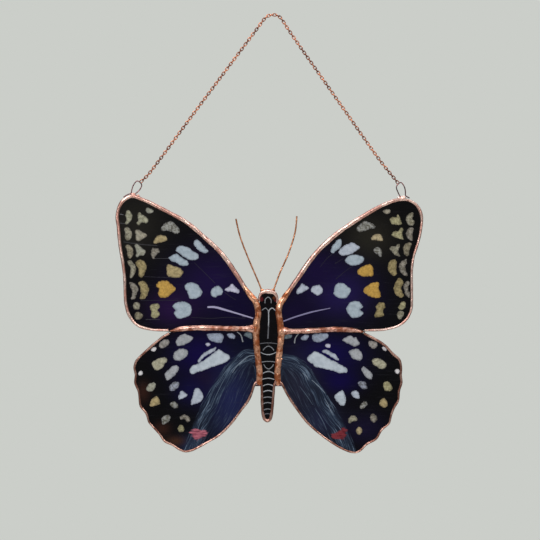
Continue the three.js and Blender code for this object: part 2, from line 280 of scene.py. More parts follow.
def directions(curve):
    """The unit direction of a curve at each of its points."""
    along = np.gradient(curve, axis=0)
    return along / np.linalg.norm(along, axis=1)[:, None]


def shifted(curve, amount):
    """The curve moved to the left of its direction."""
    along = directions(curve)
    return curve + np.column_stack([-along[:, 1], along[:, 0]]) * amount


def stations(curve, widths, depths=None):
    """Frames that take a section's (inwards, towards the front, along) to places on a flat curve."""
    along = directions(curve)
    depths = widths if depths is None else depths
    for point, (right, up), width, depth in zip(curve, along, widths, depths):
        yield Matrix((
            (-up * width, 0, right, point[0]),
            (0, -depth, 0, 0),
            (right * width, 0, up, point[1]),
            (0, 0, 0, 1)))


def sweep(bm, section, places):
    """Draws a closed section from place to place and closes both ends."""
    places = list(places)
    ring = [bm.verts.new((across, high, 0)) for across, high in section]
    edges = [bm.edges.new(pair) for pair in zip(ring, ring[1:] + ring[:1])]
    bmesh.ops.transform(bm, matrix=places[0], verts=ring)
    ends = [edges]
    for before, after in zip(places, places[1:]):
        made = bmesh.ops.extrude_edge_only(bm, edges=edges)["geom"]
        moved = [item for item in made if isinstance(item, bmesh.types.BMVert)]
        edges = [item for item in made if isinstance(item, bmesh.types.BMEdge) and item.is_boundary]
        bmesh.ops.transform(bm, matrix=after @ before.inverted(), verts=moved)
    ends.append(edges)
    for loop in ends:
        bmesh.ops.edgeloop_fill(bm, edges=loop)
    bmesh.ops.recalc_face_normals(bm, faces=bm.faces)


def round_section(diameter, sides):
    angles = [2 * math.pi * side / sides for side in range(sides)]
    return [(math.cos(a) * diameter / 2, math.sin(a) * diameter / 2) for a in angles]


def lump(bm, depth, size, seed):
    """Makes a surface uneven, as hand-run solder is, and never fuller than it was drawn."""
    bm.normal_update()
    offsets = []
    for vertex in bm.verts:
        place = Vector(vertex.co) / size + Vector((seed, 0, 0))
        height = (noise.noise(place) + noise.noise(place * 2.7) * 0.4 - 0.5) * depth
        offsets.append(vertex.normal * height)
    for vertex, offset in zip(bm.verts, offsets):
        vertex.co += offset


def finish_piece(bm, name, material, node, sharp=50, place=BUTTERFLY_PLACE):
    """Moves a mesh made in millimetres to its place, and hands it over for its CAD node."""
    for face in bm.faces:
        face.smooth = True
    for edge in bm.edges:
        if edge.is_manifold and edge.calc_face_angle() > math.radians(sharp):
            edge.smooth = False
    bmesh.ops.transform(bm, matrix=Matrix.Scale(MM, 4) @ Matrix.Translation(place), verts=bm.verts)
    mesh = bpy.data.meshes.new(name)
    bm.to_mesh(mesh)
    bm.free()
    piece = bpy.data.objects.new(name, mesh)
    bpy.context.collection.objects.link(piece)
    mesh.materials.append(material)
    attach(piece, "root")
    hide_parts(node)
    return piece


# Colours and material nodes

def linear(hex_colour):
    """An sRGB hex colour as linear red, green, blue and alpha."""
    channels = [int(hex_colour[start:start + 2], 16) / 255 for start in (1, 3, 5)]
    return tuple(c / 12.92 if c <= 0.04045 else ((c + 0.055) / 1.055) ** 2.4 for c in channels) + (1.0,)


def fill_inputs(tree, node, inputs):
    """Fills a node's inputs, by name or number, with values or links."""
    for key, value in inputs.items():
        if isinstance(value, bpy.types.NodeSocket):
            tree.links.new(value, node.inputs[key])
        else:
            node.inputs[key].default_value = value


def add_node(tree, kind, inputs, output=0, **settings):
    """Adds a node with its settings and links, and gives one of its outputs."""
    node = tree.nodes.new("ShaderNode" + kind)
    for name, value in settings.items():
        setattr(node, name, value)
    fill_inputs(tree, node, inputs)
    return node.outputs[output] if node.outputs else None


def new_material(name):
    material = bpy.data.materials.new(name)
    material.use_nodes = True
    tree = material.node_tree
    tree.nodes.clear()
    return material, tree


def finish_material(tree, inputs):
    surface = add_node(tree, "BsdfPrincipled", inputs)
    add_node(tree, "OutputMaterial", {"Surface": surface})


# How a node blends or counts, given to it as its settings
SMOOTH = {"interpolation_type": "SMOOTHSTEP"}
BLEND = {"data_type": "RGBA", "blend_type": "MIX"}
TINT = {"data_type": "RGBA", "blend_type": "MULTIPLY"}
ADD = {"operation": "ADD"}
TAKE = {"operation": "SUBTRACT"}
TIMES = {"operation": "MULTIPLY"}
SCALE_AND_ADD = {"operation": "MULTIPLY_ADD"}


# Camera and light

def add_camera():
    data = bpy.data.cameras.new("camera")
    data.lens = LENS
    data.sensor_width = SENSOR
    camera = bpy.data.objects.new("camera", data)
    away = FRAME_WIDTH * LENS / SENSOR
    camera.location = (FRAME_MIDDLE[0] * MM, -away * MM, FRAME_MIDDLE[1] * MM)
    camera.rotation_euler = (math.radians(90), 0, 0)
    bpy.context.collection.objects.link(camera)
    bpy.context.scene.camera = camera


def add_area_light(name, place, size, watts, colour):
    data = bpy.data.lights.new(name, "AREA")
    data.shape = "RECTANGLE"
    data.size, data.size_y = size
    data.energy = watts
    data.color = linear(colour)[:3]
    light = bpy.data.objects.new(name, data)
    light.location = place
    aim = Vector(LIGHTS_POINT_AT) - Vector(place)
    light.rotation_euler = aim.to_track_quat("-Z", "Y").to_euler()
    bpy.context.collection.objects.link(light)


def add_room():
    """A pale room, dimmer straight in front of the glass and below it, so that the glass looks
    black and the rounded metal is bright above and dark underneath."""
    world = bpy.data.worlds.new("pale_room")
    bpy.context.scene.world = world
    world.use_nodes = True
    tree = world.node_tree
    tree.nodes.clear()
    direction = add_node(tree, "TexCoord", {}, "Generated")
    depth = add_node(tree, "SeparateXYZ", {0: direction}, "Y")
    height = add_node(tree, "SeparateXYZ", {0: direction}, "Z")
    round_about = add_node(tree, "MapRange", {0: depth, 1: -0.985, 2: -0.93, 3: 0.22, 4: 0.44}, **SMOOTH)
    below = add_node(tree, "MapRange", {0: height, 1: -0.45, 2: 0.1, 3: 0.3, 4: 1.0}, **SMOOTH)
    round_about = add_node(tree, "Math", {0: round_about, 1: below}, **TIMES)
    above = add_node(tree, "MapRange", {0: height, 1: 0.15, 2: 0.8, 3: 0.0, 4: 0.5}, **SMOOTH)
    strength = add_node(tree, "Math", {0: round_about, 1: above}, **ADD)
    seen = add_node(tree, "LightPath", {}, "Is Camera Ray")
    backdrop = add_node(tree, "Background", {"Color": linear("#cbcec9"), "Strength": 1.0})
    room = add_node(tree, "Background", {"Color": linear("#fbf8f6"), "Strength": strength})
    mixed = add_node(tree, "MixShader", {0: seen, 1: room, 2: backdrop})
    add_node(tree, "OutputWorld", {"Surface": mixed})
    add_area_light("window", (-0.6, -0.75, 0.95), (1.1, 0.7), 8, "#fbfaff")
    add_area_light("low_window", (-0.25, -0.95, 0.14), (0.5, 0.18), 2.7, "#ffffff")
    add_area_light("lamp", (0.8, -0.8, 0.75), (0.5, 0.4), 4, "#fff8f2")
    add_area_light("sky_behind", (0.0, 0.9, 0.6), (1.2, 0.6), 5, "#f4f7ff")


def add_floor():
    """A plain pale floor, well below the hanging piece."""
    bm = bmesh.new()
    bmesh.ops.create_grid(bm, x_segments=1, y_segments=1, size=FLOOR_HALF_WIDTH)
    bmesh.ops.translate(bm, verts=bm.verts, vec=(0, 0, -FLOOR_DEPTH))
    mesh = bpy.data.meshes.new("floor")
    bm.to_mesh(mesh)
    bm.free()
    floor = bpy.data.objects.new("floor", mesh)
    bpy.context.collection.objects.link(floor)
    material, tree = new_material("matt_floor_paint")
    finish_material(tree, {"Base Color": linear("#dcdcd8"), "Roughness": 0.9})
    mesh.materials.append(material)


# Materials

# The copper finishes: bright colour, tarnished colour and the size of the tarnished patches
METALS = {
    # Foil and solder round the forewings and head: satin, the palest pink
    "copper_foil_and_solder": ("#f6d5c8", "#c6978a", 8.0),
    # The thinner rims of the hindwings and abdomen: duller and browner
    "dulled_copper_foil": ("#c39b8d", "#835b4f", 5.0),
    # The beads beside the body: the warmest copper, with patches of brown
    "copper_plated_solder": ("#f8bb98", "#a9623f", 4.5),
    # The beads between the wings: a rosy copper
    "rosy_copper_plated_solder": ("#d2a595", "#8f5946", 5.0),
    # The antennae: golden brown drawn wire, with smears of solder
    "drawn_copper_wire": ("#e6a47c", "#a0643f", 5.0),
    # The loops and brace: wire that the soldering flame turned dark and purplish
    "flame_dulled_copper_wire": ("#93686a", "#4c3236", 5.0),
    # The chain: copper-plated steel, its links a little uneven in colour
    "copper_plated_chain": ("#c07a58", "#743f2c", 6.0),
}


def copper(name):
    """Copper, satin and pinkish where it is bright, browner where it has tarnished in patches, and darker
    along the glass and round the outer side: tarnish there, and painted shade."""
    bright, dark, patch_size = METALS[name]
    material, tree = new_material(name)
    place = add_node(tree, "TexCoord", {}, "Object")
    patches = add_node(tree, "TexNoise", {"Vector": place, "Scale": 1 / (patch_size * MM),
        "Detail": 4.0, "Roughness": 0.6})
    clouded = add_node(tree, "MapRange", {0: patches, 1: 0.42, 2: 0.58}, **SMOOTH)
    colour = add_node(tree, "Mix", {0: clouded, 6: linear(bright), 7: linear(dark)}, 2, **BLEND)
    specks = add_node(tree, "TexNoise", {"Vector": place, "Scale": 1 / (1.4 * MM), "Detail": 3.0})
    marks = add_node(tree, "MapRange", {0: specks, 1: 0.62, 2: 0.76, 3: 0.0, 4: 0.6}, **SMOOTH)
    colour = add_node(tree, "Mix", {0: marks, 6: colour, 7: linear("#6a4036")}, 2, **BLEND)
    # Darker along the glass and round a rim's outer side: tarnish and painted shade
    edges = add_node(tree, "Attribute", {}, "Fac", attribute_name="tarnish_and_painted_shade")
    edges = add_node(tree, "Math", {0: edges, 1: 0.8}, **TIMES)
    colour = add_node(tree, "Mix", {0: edges, 6: colour, 7: linear("#4e2c28")}, 2, **BLEND)
    rough = add_node(tree, "MapRange", {0: patches, 1: 0.3, 2: 0.7, 3: 0.24, 4: 0.4}, **SMOOTH)
    grain = add_node(tree, "TexNoise", {"Vector": place, "Scale": 1 / (1.1 * MM), "Detail": 3.0})
    bump = add_node(tree, "Bump", {"Strength": 0.25, "Distance": 0.25 * MM, "Height": grain})
    finish_material(tree, {"Base Color": colour, "Metallic": 1.0, "Roughness": rough, "Normal": bump})
    return material


# What the paint functions store on a pane, and the output that each is read from
PAINT_FIELDS = {"strand": "Vector", "ground": "Color", "patch_edge": "Fac", "patch_paint": "Color",
    "line_across": "Fac", "line_half": "Fac", "line_paint": "Color", "spot_edge": "Fac",
    "spot_paint": "Color"}


def hair_streaks(tree, place, strand):
    """How far in from the hairs' edge a point is, and streaks that run along the hairs and waver."""
    depth, across, along = (add_node(tree, "SeparateXYZ", {0: strand}, axis) for axis in "XYZ")
    waver = add_node(tree, "TexNoise", {"Vector": place, "Scale": 1 / (20 * MM), "Detail": 1.0})
    across = add_node(tree, "Math", {0: waver, 1: 5.0, 2: across}, **SCALE_AND_ADD)
    across = add_node(tree, "Math", {0: across, 1: 1.6}, **TIMES)
    along = add_node(tree, "Math", {0: along, 1: 0.06}, **TIMES)
    lie = add_node(tree, "CombineXYZ", {"X": across, "Y": along})
    streaks = add_node(tree, "TexNoise", {"Vector": lie, "Scale": 1.0, "Detail": 3.0, "Roughness": 0.65})
    return depth, streaks


def hairy_ground(tree, place, ground, strand):
    """Fine grey hairs brushed over the ground: a bright band where they begin, faint ones beyond."""
    depth, streaks = hair_streaks(tree, place, strand)
    ragged = add_node(tree, "Math", {0: streaks, 1: 3.0, 2: depth}, **SCALE_AND_ADD)
    begun = add_node(tree, "MapRange", {0: ragged, 1: 0.9, 2: 2.6}, **SMOOTH)
    band = add_node(tree, "MapRange", {0: depth, 1: 6.0, 2: 11.0, 3: 1.0, 4: 0.22}, **SMOOTH)
    weight = add_node(tree, "Math", {0: begun, 1: band}, **TIMES)
    haze = add_node(tree, "Math", {0: weight, 1: 0.6}, **TIMES)
    colour = add_node(tree, "Mix", {0: haze, 6: ground, 7: linear("#1d2534")}, 2, **BLEND)
    strands = add_node(tree, "MapRange", {0: streaks, 1: 0.46, 2: 0.62}, **SMOOTH)
    strands = add_node(tree, "Math", {0: strands, 1: weight}, **TIMES)
    colour = add_node(tree, "Mix", {0: strands, 6: colour, 7: linear("#364457")}, 2, **BLEND)
    clumps = add_node(tree, "TexNoise", {"Vector": place, "Scale": 1 / (9 * MM), "Detail": 2.0})
    bright = add_node(tree, "Math", {0: clumps, 1: 0.3, 2: streaks}, **SCALE_AND_ADD)
    bright = add_node(tree, "MapRange", {0: bright, 1: 0.72, 2: 0.84, 3: 0.0, 4: 0.65}, **SMOOTH)
    bright = add_node(tree, "Math", {0: bright, 1: weight}, **TIMES)
    return add_node(tree, "Mix", {0: bright, 6: colour, 7: linear("#6f8093")}, 2, **BLEND)


def brushed_ground(tree, place, painted):
    """Faint level brush strokes across the black."""
    level = add_node(tree, "Mapping", {0: place, "Scale": (0.07, 1.0, 1.0)})
    strokes = add_node(tree, "TexNoise", {"Vector": level, "Scale": 1 / (0.9 * MM), "Detail": 3.0,
        "Roughness": 0.7})
    faint = add_node(tree, "MapRange", {0: strokes, 1: 0.56, 2: 0.78, 3: 0.0, 4: 0.14}, **SMOOTH)
    return add_node(tree, "Mix", {0: faint, 6: painted, 7: linear("#3a3a42")}, 2, **BLEND)


def red_patch(tree, place, painted, edge, paint):
    """The red near a hindwing's lowest point, dabbed on in short level strokes."""
    level = add_node(tree, "Mapping", {0: place, "Scale": (0.22, 1.0, 1.0)})
    dabs = add_node(tree, "TexNoise", {"Vector": level, "Scale": 1 / (1.1 * MM), "Detail": 2.0})
    edge = add_node(tree, "Math", {0: dabs, 1: 5.0, 2: edge}, **SCALE_AND_ADD)
    cover = add_node(tree, "MapRange", {0: edge, 1: 1.5, 2: 2.8, 3: 0.95, 4: 0.0}, **SMOOTH)
    dabbed = add_node(tree, "MapRange", {0: dabs, 1: 0.4, 2: 0.62, 3: 0.0, 4: 0.7}, **SMOOTH)
    paint = add_node(tree, "Mix", {0: dabbed, 6: paint, 7: linear("#8f7280")}, 2, **TINT)
    return add_node(tree, "Mix", {0: cover, 6: painted, 7: paint}, 2, **BLEND)


def enamel_lines(tree, painted, ragged, stored):
    """Thin lines with slightly ragged sides, and how far they cover the ground."""
    side = add_node(tree, "Math", {0: stored["line_across"]}, operation="ABSOLUTE")
    side = add_node(tree, "Math", {0: ragged, 1: 0.16, 2: side}, **SCALE_AND_ADD)
    past = add_node(tree, "Math", {0: side, 1: stored["line_half"]}, **TAKE)
    cover = add_node(tree, "MapRange", {0: past, 1: -0.06, 2: 0.18, 3: 1.0, 4: 0.0}, **SMOOTH)
    painted = add_node(tree, "Mix", {0: cover, 6: painted, 7: stored["line_paint"]}, 2, **BLEND)
    return painted, cover


def enamel_spots(tree, place, painted, ragged, stored):
    """Spots with darker flakes, thin places and duller edges, and how far they cover the ground."""
    wide = add_node(tree, "TexNoise", {"Vector": place, "Scale": 1 / (2.4 * MM), "Detail": 3.0})
    edge = add_node(tree, "Math", {0: ragged, 1: 0.6, 2: stored["spot_edge"]}, **SCALE_AND_ADD)
    edge = add_node(tree, "Math", {0: wide, 1: 1.6, 2: edge}, **SCALE_AND_ADD)
    cover = add_node(tree, "MapRange", {0: edge, 1: 0.85, 2: 1.25, 3: 1.0, 4: 0.0}, **SMOOTH)
    mica = add_node(tree, "Attribute", {}, "Alpha", attribute_name="spot_paint")
    flakes = add_node(tree, "TexNoise", {"Vector": place, "Scale": 1 / (FLAKE_SIZE * MM), "Detail": 3.0,
        "Roughness": 0.7})
    flakes = add_node(tree, "MapRange", {0: flakes, 1: 0.42, 2: 0.58, 3: 0.85, 4: 0.0}, **SMOOTH)
    flakes = add_node(tree, "Math", {0: flakes, 1: mica}, **TIMES)
    paint = add_node(tree, "Mix", {0: flakes, 6: stored["spot_paint"], 7: linear("#8a8576")}, 2, **TINT)
    thin = add_node(tree, "MapRange", {0: wide, 1: 0.42, 2: 0.62, 3: 0.0, 4: 0.26}, **SMOOTH)
    paint = add_node(tree, "Mix", {0: thin, 6: paint, 7: linear("#b4bcc4")}, 2, **TINT)
    dull = add_node(tree, "MapRange", {0: edge, 1: -0.1, 2: 0.9, 3: 0.0, 4: 0.5}, **SMOOTH)
    paint = add_node(tree, "Mix", {0: dull, 6: paint, 7: linear("#a09caa")}, 2, **TINT)
    painted = add_node(tree, "Mix", {0: cover, 6: painted, 7: paint}, 2, **BLEND)
    return painted, cover


def enamelled_glass():
    """Black glass with fired enamel: a wet gloss over the ground, the spots a little drier.
    The enamel's edges are slightly ragged, and flakes of mica show in the grey and olive ones."""
    material, tree = new_material("enamelled_black_glass")
    place = add_node(tree, "TexCoord", {}, "Object")
    stored = {name: add_node(tree, "Attribute", {}, output, attribute_name=name)
        for name, output in PAINT_FIELDS.items()}
    ragged = add_node(tree, "TexNoise", {"Vector": place, "Scale": 1 / (0.8 * MM), "Detail": 2.0})
    painted = hairy_ground(tree, place, stored["ground"], stored["strand"])
    painted = brushed_ground(tree, place, painted)
    painted = red_patch(tree, place, painted, stored["patch_edge"], stored["patch_paint"])
    painted, line_cover = enamel_lines(tree, painted, ragged, stored)
    painted, spot_cover = enamel_spots(tree, place, painted, ragged, stored)
    cover = add_node(tree, "Math", {0: spot_cover, 1: line_cover}, operation="MAXIMUM")
    gloss = add_node(tree, "Math", {0: cover, 1: 0.2, 2: 0.08}, **SCALE_AND_ADD)
    relief = add_node(tree, "Math", {0: ragged, 1: 0.4, 2: cover}, **SCALE_AND_ADD)
    bump = add_node(tree, "Bump", {"Strength": 0.2, "Distance": 0.05 * MM, "Height": relief})
    finish_material(tree, {"Base Color": painted, "Roughness": gloss, "IOR": 1.5,
        "Specular IOR Level": 0.2, "Normal": bump})
    return material


# Painted markings

# The enamels, each with its colour and how strongly its mica flakes show
PALETTE = {
    "pale olive": ("#c0c1a6", 0.7),
    "silver olive": ("#babcab", 0.5),
    "mica grey": ("#acaea9", 1.0),
    "olive grey": ("#b2af9a", 0.8),
    "warm pale": ("#b9b4a1", 0.6),
    "tan olive": ("#a8a189", 0.8),
    "smoke grey": ("#a8a397", 0.8),
    "olive gold": ("#b8a97a", 0.7),
    "tan gold": ("#cbb989", 0.5),
    "orange gold": ("#e2b65c", 0.4),
    "peach": ("#cdbe98", 0.5),
    "lime olive": ("#c1bd94", 0.6),
    "frost white": ("#d4e1ec", 0.08),
    "ice white": ("#bfd0dd", 0.15),
    "lilac white": ("#cfdae9", 0.12),
    "silver": ("#c0c5cb", 0.3),
    "lilac": ("#e2e4fa", 0.2),
    "slate grey": ("#b0b7c8", 0.8),
    "stone grey": ("#b6b2ad", 0.6),
    "pale gold": ("#d0ceb4", 0.5),
    "blue grey": ("#b1bed4", 0.4),
    "sea grey": ("#82929b", 0.5),
    "bright white": ("#ffffff", 0.1),
    "madder red": ("#d27a8c", 0.6),
    "crimson": ("#8e3840", 0.5),
    "eye red": ("#6e1019", 0.3),
    "eye amber": ("#6e3410", 0.3),
    "line white": ("#b9bec4", 0.1),
    "line silver": ("#969aa0", 0.1),
    "line grey": ("#707278", 0.1),
    "line dim": ("#45454a", 0.1),
    "line faint": ("#2b2936", 0.1),
    "hair pale": ("#8b9bac", 0.1),
    "hair grey": ("#5c6e82", 0.1),
    "line lilac": ("#b6b2d4", 0.1),
    "line violet": ("#9490b6", 0.1),
}

# Spots of enamel, each a closed outline
FOREWING_SPOTS = {
    "left": [
        ("pale olive", [[-91.1, 76.3], [-88.7, 73.8], [-88.3, 71], [-89.6, 68.3], [-91.5, 66.8],
            [-93.1, 67.2], [-92, 69.6], [-92.6, 72.5], [-92, 75.6]]),
        ("pale olive", [[-83.5, 74.3], [-81.1, 72.2], [-79.5, 71.5], [-77.8, 69.3], [-78.7, 67.5],
            [-82.1, 67.7], [-83.7, 66.4], [-85.3, 67.5], [-84.3, 69.3], [-84.5, 72.8]]),
        ("silver olive", [[-79.3, 76.9], [-77.3, 77.1], [-75.5, 76.5], [-74.4, 75.2], [-76.5, 73.8],
            [-78.8, 74.2]]),
        ("mica grey", [[-69.7, 63.7], [-67.7, 66.4], [-63.2, 68.5], [-58.7, 65.1], [-57.2, 63.2],
            [-58, 60.9], [-60.8, 60.8], [-64.3, 62.4], [-69.1, 62.5]]),
        ("olive grey", [[-93.2, 64], [-91.6, 65], [-89.6, 63.7], [-88.3, 60.3], [-89.3, 57.3],
            [-91.3, 56.2], [-93, 58.2], [-92.8, 61.4]]),
        ("warm pale", [[-85.9, 62.9], [-84.3, 63.3], [-81.3, 61.6], [-78.5, 59.5], [-80.3, 57.9],
            [-83.7, 55.9], [-85.5, 56], [-86, 59.6]]),
        ("tan gold", [[-74.7, 54.8], [-73.2, 57.9], [-71, 59.7], [-66.4, 58.7], [-65.6, 56.2],
            [-67.7, 55.1], [-70.4, 54.9], [-73.4, 53.8]]),
        ("tan olive", [[-92.7, 52.5], [-91.2, 53.5], [-88.4, 51.8], [-87.3, 49.3], [-88.3, 45.6],
            [-89.9, 44.7], [-91.2, 46.7], [-91.7, 50.4]]),
        ("silver olive", [[-86.7, 53.2], [-85, 53.6], [-82.1, 51.3], [-79.5, 48.8], [-80.6, 46.8],
            [-83.7, 46.4], [-85.2, 45], [-85.5, 48.5], [-86.3, 51.6]]),
        ("smoke grey", [[-75.2, 51.2], [-73, 51.4], [-70.3, 49.1], [-72.3, 46.7], [-74.4, 44.3],
            [-75.7, 46.4]]),
        ("olive grey", [[-91.6, 42.7], [-89, 43], [-86.6, 40.6], [-85.8, 37], [-88, 32.4], [-89.3, 31.6],
            [-89.4, 35.6], [-89.3, 38.6]]),
        ("olive gold", [[-86.1, 41.9], [-83.8, 43.9], [-80.6, 42.6], [-79, 39.2], [-80, 34.8],
            [-82.1, 31.7], [-84, 33.6], [-83.9, 37.7], [-85.5, 40.2]]),
        ("tan gold", [[-66.3, 38.6], [-64.8, 40.5], [-60, 39.3], [-56.6, 38], [-55.2, 35], [-57.3, 32.4],
            [-62, 32], [-65.2, 33.2], [-65.7, 36.4]]),
        ("orange gold", [[-72.5, 27.6], [-70.1, 29.7], [-65.3, 29.9], [-62, 27.2], [-59.8, 24.6],
            [-62.1, 22], [-65.9, 19.3], [-70, 19.4], [-71.3, 22], [-70.9, 24.9], [-72.2, 26.2]]),
        ("smoke grey", [[-89.7, 29.2], [-87.5, 28.9], [-84.4, 25.9], [-84.9, 22.2], [-86.9, 18.3],
            [-88.8, 18.5], [-88.1, 22.6], [-89.4, 26.4]]),
        ("olive gold", [[-84.3, 28.1], [-82.6, 29.8], [-80, 29.3], [-77.2, 24.9], [-78.3, 21.2],
            [-80.4, 18.3], [-83, 18.2], [-82.5, 22.3], [-83.2, 25.8]]),
        ("olive grey", [[-87.7, 14], [-86.5, 15.8], [-84.4, 16], [-82.9, 14.2], [-83.5, 12], [-85.4, 11.2],
            [-87.1, 12.1]]),
        ("tan olive", [[-86.7, 8.1], [-84.9, 9.8], [-81.9, 8.9], [-81.3, 7], [-83.3, 4.7], [-85.9, 5.1]]),
        ("lime olive", [[-76.7, 12.9], [-75, 14.9], [-71.4, 15], [-70.3, 13], [-71.7, 10.8], [-70.4, 9.3],
            [-70.5, 7.5], [-73.5, 5.6], [-76, 7], [-75.6, 9.6], [-76.2, 11.5]]),
        ("ice white", [[-62, 13.4], [-60.4, 15.4], [-55.5, 16.5], [-52, 15.9], [-49.5, 11.5], [-51, 7.6],
            [-55.9, 5.7], [-59.2, 6.1], [-61.1, 9], [-60.1, 10.8]]),
        ("ice white", [[-54.3, 26.4], [-52.6, 28.5], [-47.6, 28.8], [-43.2, 24.2], [-43.3, 20.9],
            [-46.2, 18.9], [-50.6, 18.7], [-52.2, 22.5]]),
        ("ice white", [[-37.2, 22.5], [-35.4, 25.7], [-32, 26.8], [-29.2, 23.6], [-30.3, 21], [-32.4, 20.1],
            [-34.6, 19.1], [-36.7, 20.4]]),
        ("lilac", [[-28, 24.1], [-25.6, 26.3], [-23.4, 28.1], [-21.2, 26.4], [-18.6, 23.4], [-19.6, 21.9],
            [-23, 22.8], [-26.7, 23.2]]),
        ("ice white", [[-47.9, 55.7], [-46.2, 57], [-43.6, 54.7], [-40.6, 51.7], [-38.9, 49.2],
            [-40.4, 47.9], [-44, 48.9], [-46.6, 51.2], [-47.9, 53.6]]),
        ("ice white", [[-60, 50.1], [-57.2, 52.8], [-53.1, 52], [-48.4, 49.3], [-44.8, 46.2], [-45.6, 44.1],
            [-50.4, 43.5], [-54.6, 45.4], [-58.3, 48.3]]),
        ("ice white", [[-64.6, 44.9], [-62.1, 46.7], [-59.6, 47.7], [-55.3, 44.8], [-51.9, 42.4],
            [-51.7, 40.2], [-55.6, 39.6], [-59.6, 41.7], [-63.4, 43.3]]),
    ],
    "right": [
        ("warm pale", [[74.3, 75.1], [76.6, 76.7], [78.9, 76.4], [79.3, 74.7], [77.7, 73.3], [75.3, 73.8]]),
        ("mica grey", [[57.2, 64], [59.2, 66.5], [62.7, 68.8], [66.6, 67.4], [69.8, 65.1], [68.4, 63.6],
            [66, 63.8], [62.7, 62.1], [58.9, 62]]),
        ("lime olive", [[79, 69.7], [80.7, 71.3], [83.2, 71.2], [84.3, 72.9], [85.4, 71.3], [86.7, 66.8],
            [84.1, 66.2], [80.5, 66.9], [79.3, 68.3]]),
        ("olive grey", [[89.6, 69.7], [90.8, 73.2], [92.7, 74.4], [94.5, 73.8], [93.7, 70.4], [95, 68],
            [93.9, 66], [91.3, 66]]),
        ("peach", [[66.9, 57.7], [68.8, 59.6], [72.1, 60.4], [74.2, 58.2], [74.6, 55.9], [72.4, 56],
            [69.4, 56.4], [67.3, 56.6]]),
        ("lime olive", [[80.2, 60.4], [82.2, 62.1], [84.2, 62.1], [86.4, 64.4], [87.9, 63.4], [87, 60.3],
            [88, 56.7], [84.8, 57.5], [81.4, 58.8]]),
        ("smoke grey", [[89.6, 60.9], [91.3, 64.1], [93.3, 64.7], [94.4, 63.5], [93.7, 59.5], [93.6, 56.1],
            [91.8, 56.4], [89.8, 58.9]]),
        ("mica grey", [[68.5, 49.4], [70.4, 51.6], [72.6, 51.2], [73.9, 47.8], [73.3, 45.4], [71.3, 46.7]]),
        ("olive grey", [[78.7, 50.9], [80.3, 52.4], [82.7, 52.2], [85.2, 54.2], [85.5, 52.6], [84.4, 49.8],
            [85.7, 45.6], [83.8, 46.3], [80.6, 48.3]]),
        ("tan olive", [[87.5, 50.9], [89.1, 53.8], [91.4, 54.9], [93.3, 53.9], [91.9, 51.2], [91.4, 47.4],
            [90.3, 45.8], [88.4, 47.7]]),
        ("olive gold", [[77.9, 40.9], [79.8, 43.3], [82.5, 43.9], [83.5, 42.6], [83.1, 38.5], [83.6, 34.7],
            [82.3, 33.3], [79.8, 34.3], [78, 37.4]]),
        ("smoke grey", [[84.9, 39.8], [87, 42.8], [89.5, 44.5], [90, 42.1], [88.8, 38.6], [90.6, 33.6],
            [88.8, 33.4], [85.7, 36.2]]),
        ("orange gold", [[57.6, 35.6], [60, 38.6], [64.8, 40.5], [66.9, 40.4], [68.4, 36.3], [67.8, 33.3],
            [63.9, 32.7], [59.4, 33.5]]),
        ("orange gold", [[62, 23.6], [63.9, 26.5], [67.1, 28.5], [71.8, 28.9], [71.9, 25.3], [73, 22.4],
            [72.6, 19.4], [67.6, 19.3], [64.2, 20.6]]),
        ("olive gold", [[81.4, 25.6], [82.9, 29.3], [85.1, 31.9], [88, 29], [86.2, 25], [88, 20.7],
            [86.4, 19], [83.3, 20.7]]),
        ("smoke grey", [[88.3, 28], [91.2, 30], [91.8, 28.9], [90.8, 25.3], [92.4, 21.1], [91.4, 18.6],
            [89.8, 19.9], [88.1, 24.6]]),
        ("olive gold", [[69.8, 13.3], [71.6, 15.6], [75.1, 15.7], [76.2, 13], [74.7, 10.4], [75.1, 7.8],
            [72.4, 6.3], [69.2, 6.7], [69.3, 9], [70.6, 10.8]]),
        ("lime olive", [[84.7, 12.7], [86.2, 15.8], [88.8, 16.3], [89.5, 13.7], [87.6, 11.3],
            [85.4, 11.6]]),
        ("olive grey", [[83.6, 8.6], [85.6, 10.4], [88, 9.3], [87.5, 6.6], [85.4, 5], [83.8, 6.6]]),
        ("ice white", [[40.5, 49.2], [42.1, 52.9], [45.1, 56.5], [47.3, 56.7], [47.7, 53.6], [45, 50],
            [41.9, 48]]),
        ("lilac white", [[45.7, 48.6], [48.2, 51.6], [52.2, 54.1], [54.3, 54.9], [57.4, 53.4], [59.7, 51.6],
            [57, 49.2], [52.4, 46.9], [47.9, 46.5]]),
        ("ice white", [[49.6, 43.1], [51.6, 45.8], [56.2, 47], [60.6, 46.1], [62.3, 44.4], [60.4, 41.5],
            [55.3, 39.9], [51, 41.3]]),
        ("ice white", [[42.4, 22.1], [43.6, 26.8], [46.2, 28.7], [51.9, 26.3], [53.7, 24.2], [51.2, 19.4],
            [47, 18.8], [43.2, 20.3]]),
        ("lilac white", [[27.8, 23.6], [29.4, 26.6], [33.6, 27.1], [35.6, 23.6], [33.2, 20.6], [30, 21.5]]),
        ("lilac white", [[18.3, 22.1], [20.2, 26.1], [22.2, 28.2], [24.6, 26.8], [26.7, 25.4], [22.8, 22.8],
            [19.6, 21.3]]),
        ("ice white", [[50.7, 12], [52.6, 15.6], [56.7, 16.9], [60.6, 15.2], [61.4, 12.6], [59.9, 11.6],
            [61.7, 9], [59.5, 6.6], [54.4, 6.3], [51.6, 9]]),
    ],
}
